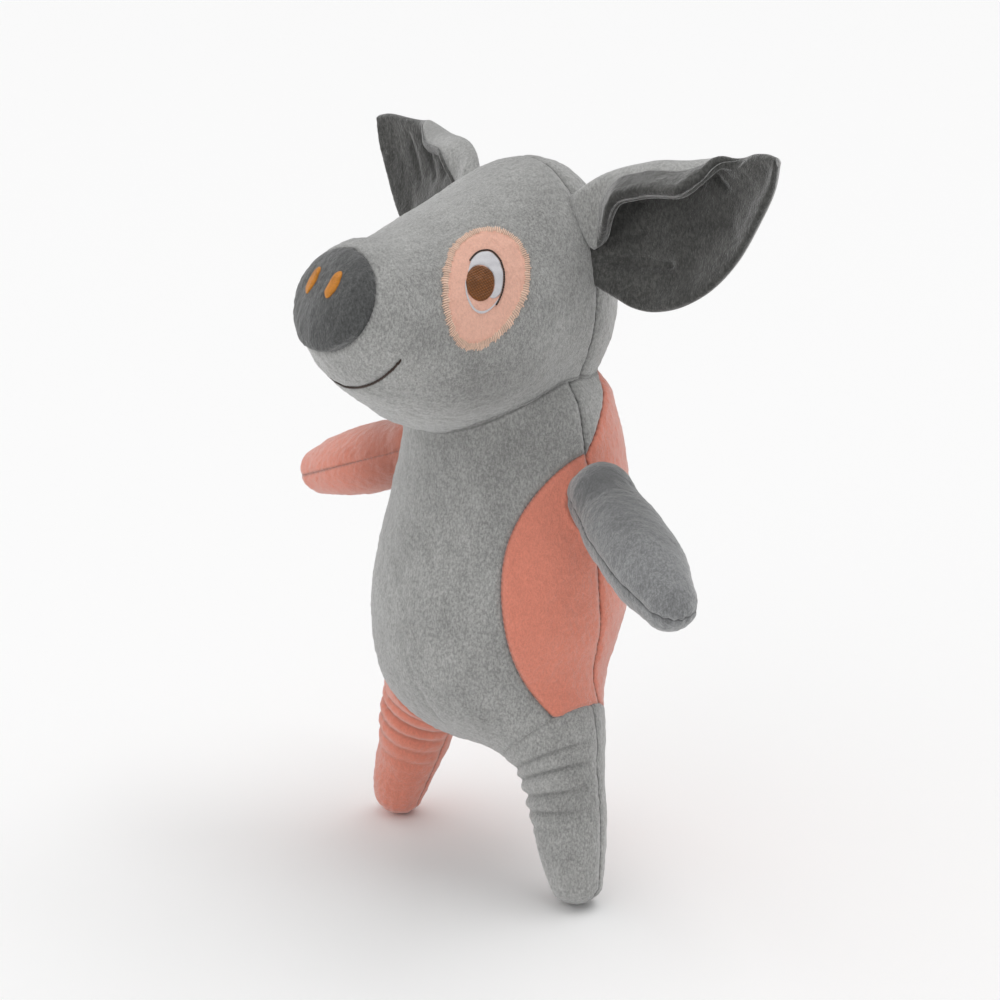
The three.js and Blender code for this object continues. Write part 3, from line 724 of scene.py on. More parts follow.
def noise(tree, vector, scale, detail, roughness=0.5):
    made = node(tree, "ShaderNodeTexNoise")
    made.inputs["Detail"].default_value = detail
    made.inputs["Roughness"].default_value = roughness
    tree.links.new(vector, made.inputs["Vector"])
    if isinstance(scale, (int, float)):
        made.inputs["Scale"].default_value = scale
    else:
        tree.links.new(scale, made.inputs["Scale"])
    return made.outputs["Fac"]


def remap(tree, value, low, high, to_low, to_high):
    made = node(tree, "ShaderNodeMapRange", interpolation_type="SMOOTHSTEP")
    tree.links.new(value, made.inputs["Value"])
    for name, number in (("From Min", low), ("From Max", high), ("To Min", to_low), ("To Max", to_high)):
        made.inputs[name].default_value = number
    return made.outputs["Result"]


def blend_colour(tree, factor, first, second):
    made = node(tree, "ShaderNodeMix", data_type="RGBA")
    for socket, value in zip((made.inputs[0], made.inputs[6], made.inputs[7]), (factor, first, second)):
        if isinstance(value, (int, float, tuple)):
            socket.default_value = value
        else:
            tree.links.new(value, socket)
    return made.outputs[2]


SURFACE_OUTPUTS = [
    ("Colour", "NodeSocketColor"), ("Roughness", "NodeSocketFloat"), ("Height", "NodeSocketFloat")]


def weighed(tree, *parts):
    """The sum of several values, each times its share."""
    total = None
    for value, share in parts:
        part = math_node(tree, "MULTIPLY", value, share)
        total = part if total is None else math_node(tree, "ADD", total, part)
    return total


def nap_group():
    """The look of a short pile laid one way: tufts, patches where it lies another way, and fine hairs."""
    name = "Brushed nap"
    if name in bpy.data.node_groups:
        return bpy.data.node_groups[name]
    tree, inside, outside = group_tree(
        name,
        [("Colour", "NodeSocketColor", (0.3, 0.3, 0.3, 1)),
         ("Lighter", "NodeSocketColor", (0.5, 0.5, 0.5, 1)),
         ("Darker", "NodeSocketColor", (0.1, 0.1, 0.1, 1)),
         ("Seam line and painted shade", "NodeSocketColor", (0.05, 0.05, 0.05, 1)),
         ("Tuft size", "NodeSocketFloat", 1.3 * MM),
         ("Patches", "NodeSocketFloat", 0.5),
         ("Seam", "NodeSocketFloat", 0.0)],
        SURFACE_OUTPUTS)
    place = node(tree, "ShaderNodeTexCoord").outputs["Object"]
    lean = node(tree, "ShaderNodeMapping", "Tufts lie downwards")
    lean.inputs["Rotation"].default_value = (0.25, 0.12, 0.3)
    lean.inputs["Scale"].default_value = (1, 1, 0.6)
    tree.links.new(place, lean.inputs["Vector"])
    lean = lean.outputs["Vector"]
    tuft_scale = math_node(tree, "DIVIDE", 1.0, inside.outputs["Tuft size"])
    tufts = noise(tree, lean, tuft_scale, 3, 0.65)
    hairs = noise(tree, lean, math_node(tree, "MULTIPLY", tuft_scale, 2.7), 2, 0.6)
    clumps = noise(tree, lean, math_node(tree, "MULTIPLY", tuft_scale, 0.3), 2)
    grain = weighed(tree, (tufts, 0.55), (hairs, 0.35), (clumps, 0.1))
    patch = weighed(tree, (noise(tree, place, 50, 1), 0.5), (noise(tree, place, 17, 1), 0.5))
    patch = math_node(tree, "MULTIPLY", remap(tree, patch, 0.34, 0.68, -0.5, 0.5), inside.outputs["Patches"])
    shade = math_node(tree, "ADD", remap(tree, grain, 0.36, 0.64, -0.5, 0.5), patch)
    bright = math_node(tree, "MULTIPLY", shade, 1.0, clamp=True)
    dim = math_node(tree, "MULTIPLY", shade, -1.0, clamp=True)
    made = blend_colour(tree, bright, inside.outputs["Colour"], inside.outputs["Lighter"])
    made = blend_colour(tree, dim, made, inside.outputs["Darker"])
    # Darkens towards the deepest colour along the seam lines and where shade is painted into creases, folds
    # and shaded places
    sewn = math_node(tree, "MULTIPLY", inside.outputs["Seam"], 0.9, clamp=True)
    made = blend_colour(tree, sewn, made, inside.outputs["Seam line and painted shade"])
    tree.links.new(made, outside.inputs["Colour"])
    tree.links.new(remap(tree, grain, 0.3, 0.7, 0.98, 0.84), outside.inputs["Roughness"])
    tree.links.new(grain, outside.inputs["Height"])
    return tree


def rgba(value, scale=1.0):
    return tuple(min(1.0, v * scale) for v in value[:3]) + (1.0,)


def surface_material(name, group, values, strength, depth, finish):
    """A material whose colour, roughness and bumps come from a node group."""
    if name in bpy.data.materials:
        return bpy.data.materials[name]
    material = bpy.data.materials.new(name)
    material.use_nodes = True
    tree = material.node_tree
    shader = tree.nodes["Principled BSDF"]
    look = node(tree, "ShaderNodeGroup", node_tree=group)
    for label, value in values.items():
        look.inputs[label].default_value = value
    # The seam mask holds the seam lines and the painted shade of creases and folds
    seam = node(tree, "ShaderNodeAttribute", attribute_name="seam")
    tree.links.new(seam.outputs["Fac"], look.inputs["Seam"])
    bump = node(tree, "ShaderNodeBump")
    bump.inputs["Strength"].default_value = strength
    bump.inputs["Distance"].default_value = depth
    tree.links.new(look.outputs["Height"], bump.inputs["Height"])
    tree.links.new(look.outputs["Colour"], shader.inputs["Base Color"])
    tree.links.new(look.outputs["Roughness"], shader.inputs["Roughness"])
    tree.links.new(bump.outputs["Normal"], shader.inputs["Normal"])
    for label, value in finish.items():
        shader.inputs[label].default_value = value
    return material


def plush_material(name, base, lighter=1.8, darker=0.42, patches=0.35, sheen=1.0, tuft=0.8 * MM):
    """Short-pile plush in one colour."""
    # The deepest colour is for the seam lines and for painted shade in creases and folds
    values = {"Colour": rgba(base), "Lighter": rgba(base, lighter), "Darker": rgba(base, darker),
              "Seam line and painted shade": rgba(base, 0.3), "Tuft size": tuft, "Patches": patches}
    finish = {"Specular IOR Level": 0.12, "Sheen Weight": sheen, "Sheen Roughness": 0.45,
              "Sheen Tint": rgba([0.85 + 0.15 * v for v in base])}
    return surface_material(name, nap_group(), values, 0.9, 0.8 * MM, finish)


def thread_group():
    """The look of laid embroidery thread: fine twisted strands and shade from thread to thread."""
    name = "Laid thread"
    if name in bpy.data.node_groups:
        return bpy.data.node_groups[name]
    tree, inside, outside = group_tree(
        name,
        [("Colour", "NodeSocketColor", (0.3, 0.3, 0.3, 1)),
         ("Second", "NodeSocketColor", (0.2, 0.2, 0.2, 1)),
         ("Between", "NodeSocketColor", (0.1, 0.1, 0.1, 1)),
         ("Pitch", "NodeSocketFloat", 0.5 * MM),
         ("Seam", "NodeSocketFloat", 0.0)],
        SURFACE_OUTPUTS)
    place = node(tree, "ShaderNodeTexCoord").outputs["Object"]
    scale = math_node(tree, "DIVIDE", 1.0, inside.outputs["Pitch"])
    strands = noise(tree, place, scale, 2)
    mixed = weighed(tree, (strands, 0.6), (noise(tree, place, 240, 2), 0.4))
    factor = remap(tree, mixed, 0.4, 0.62, 0.0, 1.0)
    made = blend_colour(tree, factor, inside.outputs["Colour"], inside.outputs["Second"])
    made = blend_colour(tree, inside.outputs["Seam"], made, inside.outputs["Between"])
    tree.links.new(made, outside.inputs["Colour"])
    tree.links.new(remap(tree, mixed, 0.3, 0.7, 0.42, 0.6), outside.inputs["Roughness"])
    tree.links.new(strands, outside.inputs["Height"])
    return tree


def thread_material(name, base, second=0.72, pitch=0.35 * MM, between=0.45):
    """Embroidery thread in one colour and its shade."""
    values = {"Colour": rgba(base), "Second": rgba(base, second), "Between": rgba(base, between),
              "Pitch": pitch}
    finish = {"Specular IOR Level": 0.35, "Sheen Weight": 0.15}
    return surface_material(name, thread_group(), values, 0.35, 0.12 * MM, finish)


def colours():
    return bpy.context.scene.pig_colours


def grey_plush():
    return plush_material("Grey plush", colours().grey)


def dark_plush():
    return plush_material("Dark plush", colours().dark, 2.2, 0.35, 0.5, 1.0, 1.1 * MM)


def nose_plush():
    return plush_material("Nose plush", colours().nose, 1.9, 0.45, 0.5, 0.6)


def arm_plush():
    return plush_material("Arm plush", colours().arm, 1.8, 0.42, 0.5, 1.0)


def pink_plush():
    return plush_material("Pink plush", colours().pink, 1.25, 0.8, 0.25, 1.0, 0.7 * MM)


def fibre_material():
    return plush_material("Filling", colours().fibre, 1.1, 0.8, 0.6, 0.3, 3 * MM)


def patch_plush():
    return plush_material("Felt", colours().felt, 1.16, 0.82, 0.3, 0.3, 0.8 * MM)


def dark_stitches():
    return thread_material("Dark thread", colours().dark_thread)


# Torso

BELLY_DART = np.array([
    (1.9, -43.3, 106.4), (4.7, -42.8, 99.1), (6, -41.1, 89.7), (9.3, -38.5, 82.5), (11.5, -31.4, 71.3)]) * MM


# Painted shade under the head and chin, low on the belly and on the cheeks: middle, reach and share of shade
TORSO_PAINTED_SHADE = [((12, -34, 195), 24, 0.3), ((38, -20, 182), 20, 0.22), ((8, -42, 60), 12, 0.1)]
HEAD_PAINTED_SHADE = [((36, -30, 212), 17, 0.3), ((42, -12, 205), 15, 0.2), ((30, -50, 235), 9, 0.14)]


def painted_shade_near(points, places):
    """Painted soft shade round a few places."""
    shade = np.zeros(len(points))
    for middle, reach, share in places:
        far = np.linalg.norm(points / MM - middle, axis=1)
        shade = np.maximum(shade, share * fading(far, reach))
    return shade


def pulled(points, line, depth, width, share=0.0, line_width=0.5 * MM):
    """How far a dart or a row of stitches pulls the cloth in, and the shade along it."""
    far = line_distance(points, line)
    return depth * hollow(far, width), share * fading(far, line_width)


def torso_seams(s):
    top = s.seat_height + s.torso_height
    slope = unit([s.yoke_width, s.yoke_height])

    def flank(p):
        y = (p[:, 1] - s.flank_middle_back) / s.flank_reach
        z = p[:, 2] - s.seat_height - s.flank_middle_rise
        return (1 - np.hypot(y, z / np.where(z > 0, s.flank_upper, s.flank_lower))) * s.flank_reach

    def yoke(p):
        y, z = p[:, 1] - s.side_seam_back, p[:, 2] - top + s.yoke_drop
        return z * slope[0] - y * slope[1]

    def behind(p):
        return p[:, 1] > s.side_seam_back - 0.2 * MM

    side = Seam(lambda p: p[:, 1] - s.side_seam_back)
    back = Seam(lambda p: p[:, 0], behind)
    patch = Seam(flank, lambda p: ~behind(p) & (p[:, 0] > 0))
    shoulder = Seam(yoke, lambda p: behind(p) & (p[:, 0] > 0))
    return {"side": side, "back": back, "flank": patch, "yoke": shoulder}


def torso_panels(seams, middle):
    """The name of the panel that each place belongs to."""
    back = seams["side"].value(middle) > 0
    left = middle[:, 0] > 0
    panel = np.where(back, "back_panel_right", "belly_panel").astype("U24")
    panel[~back & left & (seams["flank"].value(middle) > 0)] = "flank_patch_left"
    panel[back & left] = "back_panel_left"
    panel[back & left & (seams["yoke"].value(middle) > 0)] = "shoulder_yoke_left"
    return panel


def settle_labels(tris, labels):
    """Gives single odd faces along a seam to the panel round them."""
    names, index = np.unique(labels, return_inverse=True)
    edges = np.vstack([tris[:, [0, 1]], tris[:, [1, 2]], tris[:, [2, 0]]])
    face = np.tile(np.arange(len(tris)), 3)
    key = np.sort(edges, axis=1)
    order = np.lexsort((key[:, 1], key[:, 0]))
    key, face = key[order], face[order]
    same = (key[1:] == key[:-1]).all(1)
    pairs = np.stack([face[:-1][same], face[1:][same]], 1)
    for _ in range(2):
        votes = np.zeros((len(tris), len(names)), int)
        np.add.at(votes, (pairs[:, 0], index[pairs[:, 1]]), 1)
        np.add.at(votes, (pairs[:, 1], index[pairs[:, 0]]), 1)
        best = votes.argmax(1)
        index = np.where(votes[np.arange(len(tris)), best] >= 2, best, index)
    return names[index]


class Skin:
    """A stuffed skin before it is sewn on, from which its neighbours are measured."""

    def __init__(self, form, voxel, levels, hold, seams):
        self.points, self.tris, self.core = stuffed_skin(form, voxel, levels, hold)
        self.points = snap(self.points, self.tris, seams)
        self.seams = seams
        self.low, self.high = self.points.min(0), self.points.max(0)
        self.tree = BVHTree.FromPolygons(self.points.tolist(), self.tris.tolist())

    def away(self, points, normals, reach):
        """How far each point near the skin lies outside it, and how alike both face there."""
        far, alike = np.full(len(points), FAR), np.zeros(len(points))
        near = ((points > self.low - reach) & (points < self.high + reach)).all(1)
        if near.any():
            hit, facing = nearest(self.tree, points[near])
            gap = points[near] - hit
            side = np.sign(np.einsum("ij,ij->i", gap, facing))
            far[near] = side * np.linalg.norm(gap, axis=1)
            alike[near] = np.einsum("ij,ij->i", facing, normals[near])
        return far, alike


class Joint:
    """A place where a skin is sewn to a neighbour: they swell together and dip at the crease."""

    def __init__(self, skin, fill, dip, width, shade, least):
        self.skin, self.fill, self.dip, self.width = skin, fill, dip, width
        self.shade, self.least = shade, least


# Past a crease a skin dives into its neighbour: from how far on, and how steeply
DIVE_START = 1.2 * MM
DIVE_SLOPE = 1.4
CREASE_LINE = 0.65 * MM
MEET_REACH = 6 * MM
MEET_ROUNDS = 12


def meet(points, normals, joints):
    """The swelling at each point, the shade of the creases and how far the point lies past the nearest."""
    swell, shade, past = np.zeros(len(points)), np.zeros(len(points)), np.full(len(points), -FAR)
    for joint in joints:
        away, alike = joint.skin.away(points, normals, joint.fill + MEET_REACH)
        rise = np.zeros(len(points))
        for _ in range(MEET_ROUNDS):
            rise = joint.fill / 4 * np.clip(1 + (rise * (1 - alike) - away) / joint.fill, 0, 1) ** 2
        beyond = rise * (1 - alike) - away
        rise = np.maximum(rise - DIVE_SLOPE * np.clip(beyond - DIVE_START, 0, None), joint.least)
        swell += rise - joint.dip * hollow(beyond, joint.width)
        shade = np.maximum(shade, joint.shade * fading(beyond, CREASE_LINE))
        past = np.maximum(past, beyond)
    return swell, shade, past


def dent(points, tris, centre, radius):
    """Presses the filling in where a ball takes its room."""
    normals = point_normals(points, tris)
    away = points - centre
    height = np.einsum("ij,ij->i", away, normals)
    room = height ** 2 - np.einsum("ij,ij->i", away, away) + radius ** 2
    within = np.linalg.norm(away, axis=1) < radius
    move = np.where(within, height + np.sqrt(np.maximum(room, 0)), 0)
    return points - normals * np.clip(move, 0, radius)[:, None]


class Bend:
    """A limb's or an ear's body name and two places along it; a piece given one is left where it lies, not
    attached to a body.
    """

    def __init__(self, body, start, end):
        self.body, self.start, self.end = body, start.tolist(), end.tolist()


class Skins:
    """Skins that the covers are cut from, and the finished face that the stitches lie on."""

    torso = None
    head = None
    limbs = {}
    face = None


# How neck and limbs are sewn: width of the fillet, depth and width of the crease, and its shade
NECK = (5 * MM, 0.6 * MM, 4 * MM, 0.85)
ROOTS = {"arm": (8 * MM, 0.6 * MM, 2.4 * MM, 0.6), "leg": (23 * MM, 0.3 * MM, 2.4 * MM, 0.2)}
# The lowest that a skin dives past the crease: at the neck, of the torso at a limb, and of a limb
NECK_LEAST = -8 * MM
TORSO_LEAST = -6 * MM
LIMB_LEAST = -1.2 * MM
# How much cloth is kept past a crease
LIP = 5 * MM
# How firmly a seam holds the skin in while it is stuffed, and over which width
HELD_FULL = 1.4
HELD_WIDTH = 4 * MM


def tail_root():
    return joint_place("tail_root") - MIDDLE


def cover(node_name, body, points, tris, normals, mask, material, s):
    obj = shell(node_name + "_cloth", points, tris, normals, s.cloth, mask)
    finish_piece(obj, node_name, body, material)
    return obj


def panelled_skin(form, voxel, seams):
    """A stuffed skin that is held in along the seams between its panels."""
    def hold(p):
        far = np.min([seam.distance(p, np.zeros_like(p)) for seam in seams], axis=0)
        return np.clip(HELD_FULL - far / HELD_WIDTH, 0, 1)

    return Skin(form, voxel, 3, hold, seams)


def torso_skin(s):
    return panelled_skin(torso_form(s), 5.6 * MM, list(torso_seams(s).values()))


def make_torso():
    s = bpy.context.scene.pig_sizes
    seams, skin = torso_seams(s), Skins.torso
    points, tris = skin.points, skin.tris
    labels = settle_labels(tris, torso_panels(seams, points[tris].mean(1)))
    joints = [Joint(Skins.head, *NECK, NECK_LEAST)]
    joints += [Joint(limb, *ROOTS[kind], TORSO_LEAST) for (kind, _), limb in Skins.limbs.items()]
    cut = np.zeros(len(points))

    def creases(p, normals):
        swell, shade, past = meet(p, normals, joints)
        cut[:] = past
        pull, dark = pulled(p, BELLY_DART, 0.7 * MM, 2.4 * MM, 0.7, 0.45 * MM)
        # Painted shade along the creases, along the belly dart and under the head
        return swell - pull, np.maximum.reduce([shade, dark, painted_shade_near(p, TORSO_PAINTED_SHADE)])

    points, mask = sew(points, tris, seams.values(), s, 11, creases)
    normals = point_normals(points, tris)
    shown = ~(cut > LIP)[tris].all(1)
    grey, pink = ("grey_plush", grey_plush()), ("pink_plush", pink_plush())
    finishes = {"belly_panel": grey, "flank_patch_left": pink, "back_panel_left": pink,
                "back_panel_right": grey, "shoulder_yoke_left": grey}
    for name, (slot, material) in finishes.items():
        cover(name, "torso", points, tris[shown & (labels == name)], normals, mask, material, s)
    core_points, core_tris = skin.core
    for root, radius in (("shoulder", s.arm_root), ("hip", s.leg_root)):
        for name in SIDES:
            place = joint_place(f"{root}_{name}") - MIDDLE
            core_points = dent(core_points, core_tris, place, radius + FILLING_ROOM)
    stuffing("torso_stuffing", "torso", (core_points, core_tris))

# Head

MOUTH_RISE = 26.5 * MM
MOUTH_RADIUS = 35 * MM
MOUTH_SWEEP = math.radians(53)
CHEEK_DART = np.array([(35.2, -46.1, 221.7), (38.5, -42, 225.5), (40.9, -37.7, 229.7)]) * MM


def nose_plane(s):
    """The middle of the nose disc's edge and the way that the disc faces."""
    along, _, top, bottom, _ = HEAD_SHARES[NOSE_ROW]
    heart = np.array([
        0, s.head_back - along * s.head_length, s.head_base + (top + bottom) / 2 * s.head_height])
    return heart, unit([0, -1, s.snout_lean])


def mouth_line(s, tree, count=60):
    """Places along the smile on the face."""
    line = []
    for a in np.linspace(-MOUTH_SWEEP, MOUTH_SWEEP, count):
        x = MOUTH_RADIUS * math.sin(a)
        z = s.head_base + MOUTH_RISE + MOUTH_RADIUS * (1 - math.cos(a))
        hit = tree.ray_cast(Vector((x, -0.3, z)), Vector((0, 1, 0)))
        line.append((np.array(hit[0]), np.array(hit[1])))
    return np.array([p for p, _ in line]), np.array([n for _, n in line])


def head_seams(s):
    heart, nose_out = nose_plane(s)
    return Seam(lambda p: (p - heart) @ nose_out, depth=0.75), Seam(lambda p: p[:, 1] - s.head_seam)


def head_skin(s):
    return panelled_skin(head_form(s), 5.2 * MM, list(head_seams(s)))


def make_head():
    s = bpy.context.scene.pig_sizes
    nose, crown = head_seams(s)
    skin = Skins.head
    points, tris = skin.points, skin.tris
    mouth, _ = mouth_line(s, skin.tree)
    middle = points[tris].mean(1)
    labels = np.where(crown.value(middle) > 0, "head_back_panel", "face_panel").astype("U24")
    labels[nose.value(middle) > 0] = "nose_disc"
    labels = settle_labels(tris, labels)
    neck = Joint(Skins.torso, *NECK, NECK_LEAST)
    cut = np.zeros(len(points))

    def creases(p, normals):
        swell, shade, past = meet(p, normals, [neck])
        cut[:] = past
        smile, _ = pulled(p, mouth, 0.9 * MM, 3 * MM)
        pull, dark = pulled(p, CHEEK_DART, 0.7 * MM, 3.2 * MM, 0.45)
        # Painted shade along the neck crease, along the cheek dart and on the lower cheeks
        return swell - smile - pull, np.maximum.reduce([shade, dark, painted_shade_near(p, HEAD_PAINTED_SHADE)])

    points, mask = sew(points, tris, [nose, crown], s, 23, creases)
    normals = point_normals(points, tris)
    Skins.face = BVHTree.FromPolygons(points.tolist(), tris.tolist())
    shown = ~(cut > LIP)[tris].all(1)
    for name, slot, material in (("face_panel", "grey_plush", grey_plush()),
                                 ("head_back_panel", "grey_plush", grey_plush()),
                                 ("nose_disc", "dark_plush", nose_plush())):
        cover(name, "torso", points, tris[shown & (labels == name)], normals, mask, material, s)
    core_points, core_tris = skin.core[0].copy(), skin.core[1]
    for p in core_points:
        top = Skins.torso.tree.ray_cast(Vector((p[0], p[1], FAR)), Vector((0, 0, -1)))[0]
        if top is not None:
            p[2] = max(p[2], top[2] + FILLING_ROOM)
    stuffing("head_stuffing", "torso", (core_points, core_tris))


# Limbs

LEG_FOLDS = {
    # Place along the leg, depth, width and slant in millimetres, and the way round that the fold faces
    "left": [(4, 1.2, 3.8, 6, -88), (10.5, 1.5, 3.2, 4, -94), (18.5, 1.3, 3.4, 1.5, -97),
             (25, 0.8, 2.8, -0.5, -100), (32, 0.4, 3.2, -1, -104)],
    "right": [(5, 0.9, 3.2, -2, -70), (11.5, 1.2, 3.2, -2, -75), (18, 0.9, 3.4, -1, -80),
              (25, 0.6, 3.4, -1, -80), (32, 0.3, 3.4, 0, -80)],
}
# The stretch along each limb that is kept with its Bend
BENDS = {"arm": (-4 * MM, 17 * MM), "leg": (9 * MM, 32 * MM)}
# How far the top of each arm stands up over its root, and the shade there
SHOULDER_RISE = {1: 5 * MM, -1: 2 * MM}
ARM_ROOT_SHADE = 0.62
# The puckers where the two halves close at a limb's end
TUCK_REACH = 14 * MM
TUCK_WIDTH = 6 * MM
TUCK_DEPTH = 0.35 * MM
TUCK_PITCH = 0.55 * MM
# The lowest places of a foot's cloth and of its filling
SOLE_LEVEL = 0.02 * MM
SOLE_FILLING_LEVEL = 1 * MM


def limb_skin(s, kind, side):
    form, root, out, facing = (arm_form if kind == "arm" else leg_form)(s, side)

    def hold(p):
        near = np.abs((p - root) @ facing)
        root_share = np.clip(1.6 - ((p - root) @ out) / (8 * MM), 0, 1)
        return np.maximum(np.clip(1.3 - near / (3 * MM), 0, 1), root_share)

    return Skin(form, 2.7 * MM, 2, hold, [Seam(lambda p: (p - root) @ facing, depth=0.5)])


def stuff_skins():
    """Presses every skin out with its filling, before any of them is sewn to another."""
    s = bpy.context.scene.pig_sizes
    Skins.torso, Skins.head = torso_skin(s), head_skin(s)
    for name, side in SIDES.items():
        for kind in ("arm", "leg"):
            Skins.limbs[kind, name] = limb_skin(s, kind, side)


def make_limb(name, kind, side, root, out, facing, halves, material, folds):
    """A stuffed limb of two halves, sewn to the torso."""
    s = bpy.context.scene.pig_sizes
    skin = Skins.limbs[kind, name]
    points, tris, (seam,) = skin.points, skin.tris, skin.seams
    start, end = BENDS[kind]
    bend = Bend(f"{kind}_{name}", root + MIDDLE + out * start, root + MIDDLE + out * end)
    joint = Joint(Skins.torso, *ROOTS[kind], LIMB_LEAST)

    labels = settle_labels(
        tris, np.where(seam.value(points[tris].mean(1)) > 0, halves[0], halves[1]))

    def creases(p, normals):
        swell, shade, _ = meet(p, normals, [joint])
        along, across = (p - root) @ out, np.cross(out, facing)
        for place, depth, width, slant, way in folds:
            aim = np.array([math.cos(math.radians(way)), math.sin(math.radians(way)), 0])
            share = np.clip(normals @ aim + 0.15, 0, 1) ** 0.75
            wave = along / MM - place + slant * (normals @ np.cross([0, 0, 1.0], aim))
            swell -= depth * MM * fading(wave, width / 2.3) * share
            swell += 0.5 * depth * MM * fading(wave - width * 1.1, width / 1.8) * share
            shade = np.maximum(shade, 0.5 * min(depth, 1) * fading(wave, 0.9) * share)
        if kind == "arm":
            shade = np.maximum(shade, ARM_ROOT_SHADE * fading(along - 6 * MM, 22 * MM))
            aim = unit(facing - 0.4 * across * np.sign(across[1]) - 0.5 * out)
            top = np.clip(normals @ aim, 0, 1) ** 1.5
            swell += SHOULDER_RISE[side] * fading(along + 2 * MM, 9 * MM) * top
        end = np.clip((along - along.max() + TUCK_REACH) / TUCK_REACH, 0, 1)
        tuck = hollow((p - root) @ facing, TUCK_WIDTH) * end
        swell -= TUCK_DEPTH * tuck * np.sin(((p - root) @ across) / TUCK_PITCH)
        return swell, shade

    points, mask = sew(points, tris, [seam], s, 31 + side, creases)
    if kind == "leg":
        points[:, 2] = np.maximum(points[:, 2], SOLE_LEVEL)
    normals = point_normals(points, tris)
    for half in halves:
        cover(half, bend, points, tris[labels == half], normals, mask, material, s)
    core_points, core_tris = skin.core
    if kind == "leg":
        core_points = core_points.copy()
        core_points[:, 2] = np.maximum(core_points[:, 2], SOLE_FILLING_LEVEL)
    stuffing(f"{kind}_stuffing_{name}", bend, (core_points, core_tris))


def make_arms():
    s = bpy.context.scene.pig_sizes
    for name, side in SIDES.items():
        _, root, out, facing = arm_form(s, side)
        slot, material = ("arm_plush", arm_plush()) if side > 0 else ("pink_plush", pink_plush())
        make_limb(name, "arm", side, root, out, facing,
                  (f"arm_top_{name}", f"arm_bottom_{name}"), material, [])


def make_legs():
    s = bpy.context.scene.pig_sizes
    for name, side in SIDES.items():
        _, root, out, facing = leg_form(s, side)
        slot, material = ("grey_plush", grey_plush()) if side > 0 else ("pink_plush", pink_plush())
        make_limb(name, "leg", side, root, out, facing,
                  (f"leg_front_{name}", f"leg_back_{name}"), material, LEG_FOLDS[name])


# Ears

EAR_OUT = unit([0.887, 0.19, 0.421])
EAR_AXIS = unit([-0.348614, 0, 0.937266])
EAR_ROWS = 116
EAR_COLUMNS = 88
# The stretch beyond the root that is kept with each ear's Bend
EAR_BEND = (-1 * MM, 9 * MM)
EAR_TURN = math.radians(138)
EAR_TURN_RADIUS = 4 * MM
# Up to the first distance from the root the turn is pinched tighter, and past the second not at all
EAR_PINCH = (6 * MM, 27 * MM)
EAR_PINCH_TURN = math.radians(46)
# Over this stretch the flap comes out of the head
EAR_ROOTED = (-3 * MM, 4 * MM)
# Between these shares of the length the turn fades out, and the flap with it
EAR_TURN_SHARES = {1: (0.66, 0.9), -1: (0.56, 0.82)}
EAR_FLAP_SHARES = {1: (0.54, 0.78), -1: (0.42, 0.66)}
# Each ear's share of the flap, and how far its upper edge rises near the root
EAR_FLAP_OF = {1: 1.0, -1: 0.5}
EAR_RISE_OF = {1: 0.0, -1: 4 * MM}
# How far the edge lies lower where the turn fades out
EAR_SINK_OF = {1: 2.8 * MM, -1: 0.0}
EAR_WRAP = {"left": 10.5 * MM, "right": 1.2 * MM}
# Creases of the ears' inside: from and to (distance out, height), depth and width, all in millimetres
EAR_CREASES = {
    "left": [((10, -10), (31, -19), 2.2, 3.2), ((46, 11.5), (51.5, 5.5), 1.5, 2.4),
             ((59, 5), (62.5, -1), 1.3, 2.2), ((8, -3), (24, -4), 0.9, 3), ((40, -8), (62, -14), 0.5, 5),
             ((13, 1), (26, 10), 1.2, 7), ((26, 10), (52, 8), 1.2, 7)],
    "right": [((52, 9), (36, 2), 1.3, 2.2), ((60, 6), (44, -4), 1.2, 2.2), ((68, 2), (54, -10), 0.9, 2.4),
              ((10, -10), (31, -19), 1.8, 3.2)],
}


def smooth(value, full, none):
    """1 up to one value, and 0 from another on."""
    share = np.clip((none - value) / (none - full), 0, 1)
    return share * share * (3 - 2 * share)


